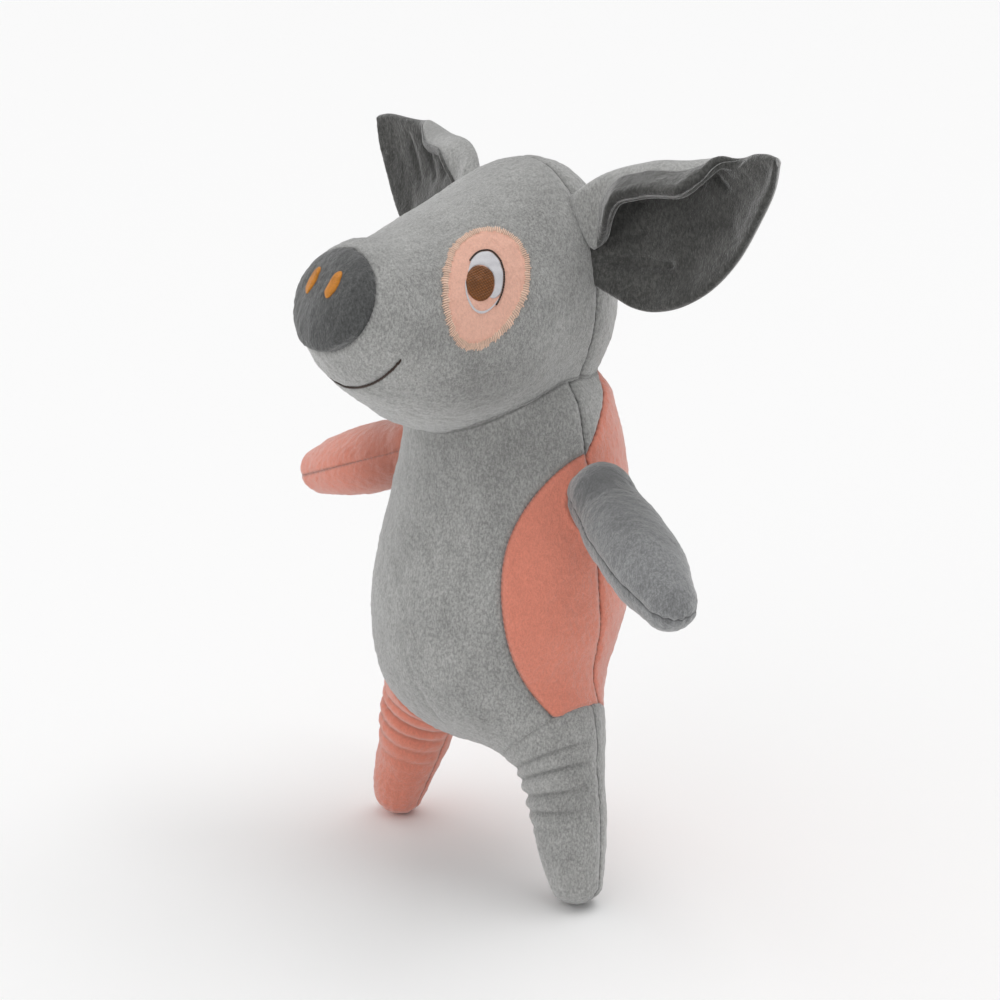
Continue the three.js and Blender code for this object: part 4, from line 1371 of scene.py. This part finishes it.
def ear_surface(s, side, lift, strip=None):
    """A grid of places on one side of an ear, or on a strip along its upper edge.

    lift() gives the height over the middle layer.
    """
    rows = np.array(EAR_SHARES) * (s.ear_length, s.ear_width, s.ear_width)
    u = np.linspace(0, len(rows) - 1, EAR_ROWS)
    table = between(rows, 2 * rows[0] - rows[1], 2 * rows[-1] - rows[-2], u)
    along, high, low = (column[:, None] for column in table.T)
    flip = np.array([side, 1, 1])
    axis, out = EAR_AXIS * flip, EAR_OUT * flip
    face = unit(np.cross(out, axis) * side)
    share = np.clip(along / s.ear_length, 0, 1)
    high = high + EAR_RISE_OF[side] * smooth(share, 0.2, 0.5)
    # Near the root the upper edge turns forward, and its outer cloth shows from above
    fade = smooth(share, *EAR_FLAP_SHARES[side])
    pinch = smooth(along, *EAR_PINCH)
    rooted = 1 - smooth(along, *EAR_ROOTED)
    turn = (EAR_TURN + EAR_PINCH_TURN * pinch) * smooth(share, *EAR_TURN_SHARES[side])
    upright = np.sin(np.minimum(turn, math.pi / 2))
    high = high - EAR_SINK_OF[side] * upright * (1 - smooth(share, 0.38, 0.58))
    flap = s.ear_flap * EAR_FLAP_OF[side] * (1 + 0.4 * pinch) * fade * rooted
    radius = EAR_TURN_RADIUS * (1 - 0.42 * pinch) * (0.3 + 0.7 * rooted)
    straight = high - low - radius * upright - flap * np.maximum(np.cos(turn), 0)
    whole = straight + radius * turn + flap
    begin = 0 if strip is None else whole - (0.8 * MM + strip * fade) * (1 - smooth(along, 5 * MM, 13 * MM))
    columns = EAR_COLUMNS if strip is None else EAR_COLUMNS // 4
    way = begin + (whole - begin) * (1 - np.cos(np.linspace(0, math.pi, columns))) / 2
    turned_by = np.clip((way - straight) / radius, 0, turn)
    rest = np.clip(way - straight - radius * turn, 0, None)
    wide = low + np.minimum(way, straight) + radius * np.sin(turned_by) + rest * np.cos(turn)
    ahead = radius * (1 - np.cos(turned_by)) + rest * np.sin(turn)
    cup = 1 - np.clip((wide - low) / (high - low), 0, 1)
    ahead = ahead + np.sin(math.pi * share) * (s.ear_cup * cup ** 2 - s.ear_bow)
    edge = np.minimum(np.minimum(way, whole - way), along[-1] + 1.5 * MM - along)
    raised = lift(along + 0 * way, wide, edge)
    facing = np.cos(turned_by)[..., None] * face - np.sin(turned_by)[..., None] * axis
    root = joint_place("ear_root_left" if side > 0 else "ear_root_right") - MIDDLE
    return (root + along[..., None] * out + wide[..., None] * axis + ahead[..., None] * face
            + raised[..., None] * facing)


def ear_rim(edge, s):
    """Half the thickness of an ear: full at its soft rounded edge and thinner in the middle."""
    share = np.clip(edge / (2.6 * MM), 0, 1)
    middle = np.clip((edge - 3 * MM) / (6 * MM), 0, 1)
    return s.ear_rim * np.sqrt(1 - (1 - share) ** 2) * (1 - 0.3 * middle)


def make_ears():
    s = bpy.context.scene.pig_sizes
    for name, side in SIDES.items():
        shades = {}

        def front(along, wide, edge):
            flat = np.stack([along, wide, 0 * wide], -1).reshape(-1, 3)
            soft = 0.5 * lumps(flat, 12 * MM, 41 + side) + 0.16 * lumps(flat, 4.5 * MM, 51 + side)
            soft = soft.reshape(wide.shape)
            pull, shade = 0, 0
            for start, end, depth, width in EAR_CREASES[name]:
                line = np.array([(*start, 0), (*end, 0)]) * MM
                far = line_distance(flat, line).reshape(wide.shape)
                pull = pull + depth * MM * fading(far, width * MM / 1.6)
                shade = np.maximum(shade, 0.45 * fading(far, 0.35 * width * MM))
            inner = np.clip(edge / (6 * MM), 0, 1)
            upper = np.clip(wide / (6 * MM), 0, 1) * smooth(along / s.ear_length, *EAR_FLAP_SHARES[side])
            # Painted shade along the upper edge under the turned flap, and painted shade along the creases
            rolled = 0.75 * fading(edge, 1.8 * MM) * upper
            shades["front"] = np.maximum(shade * inner, rolled).reshape(-1)
            fuzz = 0.1 * MM * lumps(flat, 1.7 * MM, 61 + side).reshape(wide.shape)
            return 0.12 * MM + ear_rim(edge, s) + inner * (MM * soft - pull) + fuzz * np.clip(edge / MM, 0, 1)

        def back(along, wide, edge):
            return -0.12 * MM - ear_rim(edge, s)

        def wrap(along, wide, edge):
            """The inner cloth where it is rolled over the upper edge."""
            flat = np.stack([along, wide, 0 * wide], -1).reshape(-1, 3)
            fuzz = 0.15 * MM * lumps(flat, 2.2 * MM, 71).reshape(wide.shape)
            across = np.linspace(0, 1, wide.shape[1])
            # Painted shade towards the wrap's far edge
            shades["wrap"] = (0.75 * across ** 6 + 0 * wide).reshape(-1)
            full, none = EAR_FLAP_SHARES[side]
            kept = (1 - smooth(along, 3 * MM, 11 * MM)) * smooth(along / s.ear_length, full, none + 0.04)
            thick = (1.6 * MM + fuzz) * np.sqrt(np.sin(math.pi * (0.01 + across * 0.8))) * kept
            return back(along, wide, edge) - thick - 0.03 * MM

        middle = {sign: ear_surface(s, side, lambda a, w, e: sign * 0.04 * MM + 0 * w) for sign in (1, -1)}
        root, out = joint_place(f"ear_root_{name}"), EAR_OUT * (side, 1, 1)
        bend = Bend(f"ear_{name}", root + out * EAR_BEND[0], root + out * EAR_BEND[1])
        for node_name, lift, under, slot, material in (
                (f"ear_inner_{name}", front, middle[1], "dark_plush", dark_plush()),
                (f"ear_outer_{name}", back, middle[-1], "grey_plush", grey_plush())):
            grid = ear_surface(s, side, lift)
            mask = shades.get("front") if lift is front else np.zeros(grid[..., 0].size)
            obj = slab(node_name + "_cloth", grid, under, False, np.concatenate([mask, 0 * mask]))
            if lift is front:
                over = ear_surface(s, side, wrap, EAR_WRAP[name])
                under = ear_surface(s, side, back, EAR_WRAP[name])
                obj = joined([obj, slab("wrap", over, under, False, np.tile(shades["wrap"], 2))])
            finish_piece(obj, node_name, bend, material)


# Tail

TAIL_STEM = 6 * MM
# The tail starts in the drawn-in seam of the back
TAIL_SUNK = 2.8 * MM
TAIL_STEM_SHARE = 0.25
CURL_RADIUS = 6.5 * MM
CURL_ADVANCE = 10 * MM
CURL_TURNS = 1.15
TAIL_RINGS = 110
TAIL_SIDES = 36


def tail_line(count):
    """Places along the curl, from the back outwards."""
    t = np.linspace(0, 1, 2000)
    bend = np.clip(t - TAIL_STEM_SHARE, 0, 1) / (1 - TAIL_STEM_SHARE)
    a = bend * CURL_TURNS * 2 * math.pi
    y = np.minimum(1, t / TAIL_STEM_SHARE) * (TAIL_STEM + TAIL_SUNK) - TAIL_SUNK + bend * CURL_ADVANCE
    line = np.stack([CURL_RADIUS * np.sin(a), y, CURL_RADIUS * (1 - np.cos(a))], 1)
    far = np.concatenate([[0], np.cumsum(np.linalg.norm(np.diff(line, axis=0), axis=1))])
    places = np.linspace(0, far[-1], count)
    return np.stack([np.interp(places, far, line[:, k]) for k in range(3)], 1), places


def make_tail():
    s = bpy.context.scene.pig_sizes
    line, places = tail_line(TAIL_RINGS)
    tangent = unit(np.gradient(line, axis=0))
    across = [np.array([1.0, 0, 0])]
    for t in tangent:
        across.append(unit(across[-1] - t * (across[-1] @ t)))
    across = np.array(across[1:])
    third = np.cross(tangent, across)
    radius = s.tail_radius + (s.tail_tip - s.tail_radius) * places / places[-1]
    end = np.clip((places[-1] - places) / s.tail_tip, 0, 1)
    start = np.clip(places / s.tail_radius, 0, 1)
    radius = radius * np.sqrt(1 - (1 - end) ** 2 * 0.995) * np.sqrt(1 - (1 - start) ** 2 * 0.6)
    t = np.linspace(0, 2 * math.pi, TAIL_SIDES, endpoint=False)
    ring = (np.cos(t)[None, :, None] * across[:, None] + np.sin(t)[None, :, None] * third[:, None])
    points = (line[:, None] + ring * radius[:, None, None]).reshape(-1, 3)
    points = np.vstack([points, line[0] - tangent[0] * 0.2 * MM, line[-1] + tangent[-1] * 0.1 * MM])
    faces = []
    for i in range(TAIL_RINGS - 1):
        a, b = i * TAIL_SIDES, (i + 1) * TAIL_SIDES
        for k in range(TAIL_SIDES):
            n = (k + 1) % TAIL_SIDES
            faces.append((a + k, a + n, b + n, b + k))
    last = (TAIL_RINGS - 1) * TAIL_SIDES
    for k in range(TAIL_SIDES):
        n = (k + 1) % TAIL_SIDES
        faces.append((len(points) - 2, n, k))
        faces.append((len(points) - 1, last + k, last + n))
    tris = triangles(faces)
    if volume(points, tris) < 0:
        tris = tris[:, ::-1]
    points = points + point_normals(points, tris) * (0.12 * MM * lumps(points, 3 * MM, 5))[:, None]
    obj = new_object("tail_cloth", points + tail_root() + MIDDLE, tris)
    write_mask(obj.data, np.zeros(len(points)))
    obj.data.shade_smooth()
    finish_piece(obj, "tail", "tail", grey_plush())


# Embroidery

EYE_FROM_BACK = 86.2 * MM
EYE_ANGLE = math.radians(31)
EYE_WIDTH = 14.5 * MM
EYE_HEIGHT = 25 * MM
IRIS_WIDTH = 11 * MM
IRIS_HEIGHT = 14.2 * MM
IRIS_FORWARD = 1.4 * MM
IRIS_DOWN = 1.2 * MM
PATCH_WIDTH = 33 * MM
PATCH_HEIGHT = 50 * MM
PATCH_BACK = 0.9 * MM
PATCH_DOWN = 0.5 * MM
PATCH_BORDER = 2.7 * MM
PATCH_NARROW_SHARE = 0.12
NOSTRIL_RISE = 67 * MM
NOSTRIL_HALF_SPAN = 6.6 * MM
NOSTRIL_WIDTH = 4.8 * MM
NOSTRIL_LENGTH = 11 * MM
NOSTRIL_TILT = math.radians(12)
UNDER_THREAD = 0.25 * MM


class Hoop:
    """A flat embroidery hoop over the head, from which outlines are laid down on the cloth."""

    def __init__(self, centre, normal, tilt):
        self.centre, self.normal = np.asarray(centre), unit(normal)
        right = unit(np.cross([0, 0, 1], self.normal))
        up = np.cross(self.normal, right)
        self.right = right * math.cos(tilt) + up * math.sin(tilt)
        self.up = up * math.cos(tilt) - right * math.sin(tilt)

    def lay(self, flat, lift):
        """Places on the cloth under flat outline places, each raised by lift."""
        shape = flat.shape[:-1]
        flat = flat.reshape(-1, 2)
        lift = np.broadcast_to(lift, shape).reshape(-1)
        start = self.centre + self.normal * 40 * MM + flat[:, :1] * self.right + flat[:, 1:] * self.up
        down = Vector(-self.normal)
        result = np.empty((len(flat), 3))
        for i, p in enumerate(start):
            hit = Skins.face.ray_cast(Vector(p), down)
            place, normal = (hit[0], hit[1]) if hit[0] is not None else Skins.face.find_nearest(Vector(p))[:2]
            result[i] = np.array(place) + (np.array(normal) * 0.5 + self.normal * 0.5) * lift[i]
        return result.reshape(*shape, 3)


def turned(flat, turn):
    c, n = math.cos(turn), math.sin(turn)
    return flat @ np.array([[c, n], [-n, c]])


class Oval:
    """An outline with a width, height, narrower lower end, shift and turn."""

    def __init__(self, width, height, narrow=0.0, shift=(0.0, 0.0), turn=0.0):
        self.half = np.array([width / 2, height / 2])
        self.narrow, self.shift, self.turn = narrow, np.array(shift), turn

    def edge(self, a, grow=0.0):
        """Places on the outline at angles a, grown outwards."""
        x = (self.half[0] + grow) * np.cos(a) * (1 + self.narrow * np.sin(a))
        return turned(np.stack([x, (self.half[1] + grow) * np.sin(a)], -1), self.turn) + self.shift

    def disc(self, n, m):
        """A grid of places that fills the outline."""
        u, v = np.meshgrid(np.linspace(-1, 1, n), np.linspace(-1, 1, m), indexing="ij")
        x, y = u * np.sqrt(1 - v * v / 2), v * np.sqrt(1 - u * u / 2)
        rim = np.maximum(abs(u), abs(v))
        flat = np.stack([x * self.half[0] * (1 + self.narrow * y), y * self.half[1]], -1)
        return turned(flat, self.turn) + self.shift, rim


def threads(along, pitch, height):
    """Rounded ridges of laid thread."""
    return height * np.sqrt(np.abs(np.sin(math.pi * along / pitch)) + 1e-6)


def stitched_piece(name, top, bottom, wrap, material):
    obj = slab(name + "_thread", top, bottom, wrap)
    finish_piece(obj, name, "torso", material)
    return obj


def make_nostrils():
    s = bpy.context.scene.pig_sizes
    heart, nose_out = nose_plane(s)
    tip = s.head_back - s.head_length
    for name, side in SIDES.items():
        place = (side * NOSTRIL_HALF_SPAN, heart[1] - (heart[1] - tip) / 2, s.head_base + NOSTRIL_RISE)
        hoop = Hoop(place, nose_out, -NOSTRIL_TILT)
        flat, rim = Oval(NOSTRIL_WIDTH, NOSTRIL_LENGTH).disc(44, 100)
        dome = np.sqrt(np.clip(1 - rim ** 4, 0, 1))
        lift = 0.15 * MM + 0.75 * MM * dome + threads(flat[..., 1], s.thread, 0.16 * MM) * dome
        material = thread_material("Orange thread", colours().orange, 0.66)
        stitched_piece(f"nostril_{name}", hoop.lay(flat, lift), hoop.lay(flat, -UNDER_THREAD), False,
                       material)


def beads(places, directions, normals, long, thick, name):
    """A row of short stitches, each a small rounded loop of thread."""
    points, faces = [], []
    around, down = 8, 6
    for place, way, normal in zip(places, directions, normals):
        side = np.cross(normal, way)
        base = len(points)
        for r in range(down + 1):
            a = math.pi * r / down
            for k in range(around):
                b = 2 * math.pi * k / around
                ring = math.sin(a) ** 0.7 if 0 < r < down else 0.05
                points.append(place + way * (math.cos(a) * long / 2) + (side * math.cos(b)
                              + normal * math.sin(b)) * ring * thick / 2)
        for r in range(down):
            for k in range(around):
                n = (k + 1) % around
                faces.append((base + r * around + k, base + r * around + n,
                              base + (r + 1) * around + n, base + (r + 1) * around + k))
        faces.append(tuple(base + k for k in range(around))[::-1])
        faces.append(tuple(base + down * around + k for k in range(around)))
    obj = new_object(name + "_thread", np.array(points) + MIDDLE, faces)
    bpy.ops.object.mode_set(mode="EDIT")
    bpy.ops.mesh.select_all(action="SELECT")
    bpy.ops.mesh.normals_make_consistent(inside=False)
    bpy.ops.object.mode_set(mode="OBJECT")
    write_mask(obj.data, np.zeros(len(obj.data.vertices)))
    obj.data.shade_smooth()
    return obj


def make_mouth():
    s = bpy.context.scene.pig_sizes
    line, normals = mouth_line(s, Skins.face, 400)
    far = np.concatenate([[0], np.cumsum(np.linalg.norm(np.diff(line, axis=0), axis=1))])
    places = np.arange(0.5 * s.stitch_pitch, far[-1], 0.8 * s.stitch_pitch)
    spot = np.stack([np.interp(places, far, line[:, k]) for k in range(3)], 1)
    normal = unit(np.stack([np.interp(places, far, normals[:, k]) for k in range(3)], 1))
    way = unit(np.gradient(spot, axis=0))
    slant = unit(way + 0.28 * np.cross(normal, way))
    obj = beads(spot + normal * 0.15 * MM, slant, normal, 1.25 * s.stitch_pitch, 0.85 * MM, "mouth_stitch")
    finish_piece(obj, "mouth_stitch", "torso", dark_stitches())


def band(inner, outer, rows):
    """A grid of places between two edges."""
    across = np.linspace(0, 1, rows)[None, :, None]
    return inner[:, None] + (outer - inner)[:, None] * across


def tapered(count, share):
    """1 along the middle of a band and 0 at its ends."""
    t = np.linspace(0, 1, count)
    return np.clip(np.minimum(t, 1 - t) / share, 0, 1)[:, None] ** 0.6


def make_patch(name, side, hoop, s, draw):
    """The felt field round the eye and its border of satin stitches."""
    turn = -side * (s.patch_tilt - s.eye_tilt)
    shift = (side * PATCH_BACK, -PATCH_DOWN)
    border = Oval(PATCH_WIDTH, PATCH_HEIGHT, PATCH_NARROW_SHARE, shift, turn)
    flat, rim = Oval(PATCH_WIDTH - PATCH_BORDER, PATCH_HEIGHT - PATCH_BORDER, PATCH_NARROW_SHARE,
                     shift, turn).disc(80, 120)
    soft = lumps(np.dstack([flat, flat[..., :1] * 0]).reshape(-1, 3), 2.2 * MM, 9).reshape(rim.shape)
    field = stitched_piece(
        f"eye_patch_{name}", hoop.lay(flat, 0.5 * MM + 0.09 * MM * soft), hoop.lay(flat, -UNDER_THREAD),
        False, patch_plush())
    stitches, columns, rows = 158, 7, 9
    around = stitches * columns
    a = np.linspace(0, 2 * math.pi, around, endpoint=False)
    ridge = np.array([0, 0.55, 0.9, 1, 1, 0.85, 0.5])[np.arange(around) % columns]
    longer = np.repeat(draw.uniform(-0.35, 0.7, stitches), columns) * MM
    shorter = np.repeat(draw.uniform(-0.4, 0.3, stitches), columns) * MM
    bright = np.repeat(draw.uniform(0, 0.35, stitches), columns)
    across = np.linspace(0, 1, rows)
    inner = -PATCH_BORDER + shorter + (1 - ridge) * 0.5 * MM
    outer = longer - (1 - ridge) * 1.1 * MM
    grow = inner[:, None] + (outer - inner)[:, None] * across
    flat = border.edge(a[:, None] + 0 * across, grow)
    profile = np.sqrt(np.clip(1 - (2 * across - 1) ** 4, 0, 1))
    lift = 0.1 * MM + (0.4 * MM + 0.5 * MM * ridge[:, None]) * profile
    gaps = np.clip((1 - ridge) ** 1.5 + bright, 0, 1)[:, None] + 0 * across
    top = hoop.lay(flat, lift)
    obj = slab(f"eye_patch_border_{name}_thread", top, hoop.lay(flat, -UNDER_THREAD), True,
               np.concatenate([gaps.reshape(-1), gaps.reshape(-1)]))
    finish_piece(obj, f"eye_patch_border_{name}", "torso",
                 thread_material("Pink thread", colours().pink_thread, 0.86))


def make_eyes():
    s = bpy.context.scene.pig_sizes
    form = head_form(s)
    u = form.reach(s.head_back - EYE_FROM_BACK)
    white = thread_material("White thread", colours().white, 0.9)
    brown = thread_material("Brown thread", colours().brown, 0.6, 0.8 * MM)
    dark = dark_stitches()
    draw = np.random.default_rng(8)
    for name, side in SIDES.items():
        t = EYE_ANGLE if side > 0 else math.pi - EYE_ANGLE
        place = form.point(u, t)
        _, normal = nearest(Skins.head.tree, [place])
        hoop = Hoop(place, normal[0], -side * s.eye_tilt)
        iris = Oval(IRIS_WIDTH, IRIS_HEIGHT, shift=(-side * IRIS_FORWARD, -IRIS_DOWN))
        eye = Oval(EYE_WIDTH, EYE_HEIGHT)
        base = 0.1 * MM
        if side > 0:
            make_patch(name, side, hoop, s, draw)
            base = 0.5 * MM

        def angles(first, last, count):
            """Angles round the eye, from its forward side over the top and down behind."""
            a = np.radians(np.linspace(first, last, count))
            return a if side > 0 else math.pi - a

        flat, rim = iris.disc(90, 116)
        dome = np.sqrt(np.clip(1 - rim ** 8, 0, 1))
        weave = np.sin(math.pi * flat[..., 0] / (0.7 * MM)) * np.sin(math.pi * flat[..., 1] / (0.6 * MM))
        lift = base + (0.55 * MM + 0.13 * MM * weave) * dome
        cells = np.clip(0.45 - 0.6 * weave, 0, 1).reshape(-1)
        obj = slab(f"iris_{name}_thread", hoop.lay(flat, lift), hoop.lay(flat, -UNDER_THREAD), False,
                   np.concatenate([cells, cells]))
        finish_piece(obj, f"iris_{name}", "torso", brown)

        # The white lies over and behind the iris, with a thin line of it below
        parts = []
        for first, last, thin in ((172, -38, False), (188, 338, True)):
            a = angles(first, last, 260)
            outer = eye.edge(a)
            way = outer - iris.shift
            if thin:
                inner = outer - unit(way) * 0.85 * MM * tapered(len(a), 0.3)
            else:
                bearing = np.arctan2(way[:, 1] / iris.half[1], way[:, 0] / iris.half[0])
                inner = iris.edge(bearing, 0.08 * MM)
                room = np.einsum("ij,ij->i", outer - inner, unit(way))[:, None]
                inner = np.where(room < 0.12 * MM, outer - unit(way) * 0.12 * MM, inner)
                outer = inner + (outer - inner) * np.maximum(tapered(len(a), 0.12), 0.05)
            flat = band(inner, outer, 22)
            across = np.linspace(0, 1, 22)
            profile = np.sqrt(np.clip(1 - (2 * across - 1) ** 6, 0, 1))
            laid = threads(flat[..., 1] + 0.3 * flat[..., 0], s.thread, 0.12 * MM)
            lift = base + (0.35 * MM + laid) * profile
            parts.append(
                slab(f"eye_white_{name}_thread", hoop.lay(flat, lift), hoop.lay(flat, -UNDER_THREAD), False))
        finish_piece(joined(parts), f"eye_white_{name}", "torso", white)
        edge = eye.edge(angles(148, -34, 40), 0.3 * MM)
        spot = hoop.lay(edge, base + 0.4 * MM)
        way = unit(np.gradient(spot, axis=0))
        normals = np.tile(hoop.normal, (len(spot), 1))
        ring = beads(spot, way, normals, 1.3 * MM, 0.72 * MM, f"eye_outline_{name}")
        finish_piece(ring, f"eye_outline_{name}", "torso", dark)


# Stage

CAMERA_PLACE = np.array([597, -498, 377]) * MM
CAMERA_AZIMUTH = math.radians(49.6)
CAMERA_ELEVATION = math.radians(15.8)
CAMERA_LENS = 72
CAMERA_SENSOR = 36
FLOOR_REACH = 14.0
KEY_WAY = (0.1, 0.24, 0.96)
KEY_STRENGTH = 1.38
KEY_SOFTNESS = math.radians(50)
FILL_WAY = (-0.4, -0.78, 0.5)
FILL_STRENGTH = 0.9
FILL_SOFTNESS = math.radians(110)
WORLD_STRENGTH = 0.42


def make_camera():
    data = bpy.data.cameras.new("Camera")
    data.lens = CAMERA_LENS
    data.sensor_width = CAMERA_SENSOR
    camera = bpy.data.objects.new("Camera", data)
    bpy.context.scene.collection.objects.link(camera)
    camera.location = CAMERA_PLACE + MIDDLE
    camera.rotation_euler = (math.pi / 2 - CAMERA_ELEVATION, 0, CAMERA_AZIMUTH)
    bpy.context.scene.camera = camera


def soft_sun(name, way, strength, softness):
    """Even light from far away, spread over an angle."""
    data = bpy.data.lights.new(name, "SUN")
    data.energy = strength
    data.angle = softness
    light = bpy.data.objects.new(name, data)
    bpy.context.scene.collection.objects.link(light)
    light.rotation_euler = (-Vector(way)).to_track_quat("-Z", "Y").to_euler()


def make_stage():
    scene = bpy.context.scene
    make_camera()
    deselect_all()
    bpy.ops.mesh.primitive_grid_add(x_subdivisions=40, y_subdivisions=40, size=2 * FLOOR_REACH)
    floor = bpy.context.active_object
    floor.name = "studio_floor"
    floor.data.transform(floor.matrix_world)
    floor.matrix_world.identity()
    material = bpy.data.materials.new("Floor paper")
    material.use_nodes = True
    shader = material.node_tree.nodes["Principled BSDF"]
    shader.inputs["Base Color"].default_value = rgba(colours().floor)
    shader.inputs["Roughness"].default_value = 0.9
    shader.inputs["Specular IOR Level"].default_value = 0.1
    floor.data.materials.append(material)
    soft_sun("Key", KEY_WAY, KEY_STRENGTH, KEY_SOFTNESS)
    soft_sun("Fill", FILL_WAY, FILL_STRENGTH, FILL_SOFTNESS)
    world = bpy.data.worlds.new("Studio")
    world.use_nodes = True
    world.node_tree.nodes["Background"].inputs["Color"].default_value = (1, 1, 1, 1)
    world.node_tree.nodes["Background"].inputs["Strength"].default_value = WORLD_STRENGTH
    scene.world = world
    scene.view_settings.view_transform = "Standard"


# Operators


class PIG_OT_stage(bpy.types.Operator):
    """Camera, pale floor and soft lights."""

    bl_idname = "pig.stage"
    bl_label = "Set up the stage"

    def execute(self, context):
        make_stage()
        return {"FINISHED"}


class PIG_OT_skins(bpy.types.Operator):
    """Torso, head, arms and legs, each swollen by its filling."""

    bl_idname = "pig.skins"
    bl_label = "Stuff the skins"

    def execute(self, context):
        stuff_skins()
        return {"FINISHED"}


class PIG_OT_torso(bpy.types.Operator):
    """Five panels round the torso's filling."""

    bl_idname = "pig.torso"
    bl_label = "Sew the torso"

    def execute(self, context):
        make_torso()
        return {"FINISHED"}


class PIG_OT_head(bpy.types.Operator):
    """Face, nose disc and back of the head round their filling."""

    bl_idname = "pig.head"
    bl_label = "Sew the head"

    def execute(self, context):
        make_head()
        return {"FINISHED"}


class PIG_OT_arms(bpy.types.Operator):
    """Two halves round each arm's filling."""

    bl_idname = "pig.arms"
    bl_label = "Sew the arms"

    def execute(self, context):
        make_arms()
        return {"FINISHED"}


class PIG_OT_legs(bpy.types.Operator):
    """Two halves round each leg's filling."""

    bl_idname = "pig.legs"
    bl_label = "Sew the legs"

    def execute(self, context):
        make_legs()
        return {"FINISHED"}


class PIG_OT_ears(bpy.types.Operator):
    """A dark inner and a grey outer layer on each side."""

    bl_idname = "pig.ears"
    bl_label = "Sew the ears"

    def execute(self, context):
        make_ears()
        return {"FINISHED"}


class PIG_OT_tail(bpy.types.Operator):
    """The small curled tail."""

    bl_idname = "pig.tail"
    bl_label = "Sew the tail"

    def execute(self, context):
        make_tail()
        return {"FINISHED"}


class PIG_OT_nostrils(bpy.types.Operator):
    """Two ovals of orange satin stitch."""

    bl_idname = "pig.nostrils"
    bl_label = "Embroider the nostrils"

    def execute(self, context):
        make_nostrils()
        return {"FINISHED"}


class PIG_OT_mouth(bpy.types.Operator):
    """A smile in dark stem stitch."""

    bl_idname = "pig.mouth"
    bl_label = "Embroider the mouth"

    def execute(self, context):
        make_mouth()
        return {"FINISHED"}


class PIG_OT_eyes(bpy.types.Operator):
    """Iris, white, outline and the left eye's field."""

    bl_idname = "pig.eyes"
    bl_label = "Embroider the eyes"

    def execute(self, context):
        make_eyes()
        return {"FINISHED"}


STEPS = [
    PIG_OT_stage, PIG_OT_skins, PIG_OT_torso, PIG_OT_head, PIG_OT_arms, PIG_OT_legs,
    PIG_OT_ears, PIG_OT_tail, PIG_OT_nostrils, PIG_OT_mouth, PIG_OT_eyes,
]


class PIG_PT_panel(bpy.types.Panel):
    """The steps that make the plush pig."""

    bl_label = "Plush Pig"
    bl_idname = "PIG_PT_panel"
    bl_space_type = "VIEW_3D"
    bl_region_type = "UI"
    bl_category = "Plush Pig"

    def draw(self, context):
        for step in STEPS:
            self.layout.operator(step.bl_idname)
        for group in (context.scene.pig_sizes, context.scene.pig_colours):
            box = self.layout.box()
            for name in group.__annotations__:
                box.prop(group, name)


CLASSES = [PigSizes, PigColours, *STEPS, PIG_PT_panel]


def register():
    for item in CLASSES:
        bpy.utils.register_class(item)
    bpy.types.Scene.pig_sizes = PointerProperty(type=PigSizes)
    bpy.types.Scene.pig_colours = PointerProperty(type=PigColours)


def unregister():
    del bpy.types.Scene.pig_sizes
    del bpy.types.Scene.pig_colours
    for item in reversed(CLASSES):
        bpy.utils.unregister_class(item)


def main():
    register()
    bpy.ops.pig.stage()
    bpy.ops.pig.skins()
    bpy.ops.pig.torso()
    bpy.ops.pig.head()
    bpy.ops.pig.arms()
    bpy.ops.pig.legs()
    bpy.ops.pig.ears()
    bpy.ops.pig.tail()
    bpy.ops.pig.nostrils()
    bpy.ops.pig.mouth()
    bpy.ops.pig.eyes()


if __name__ == "__main__":
    main()
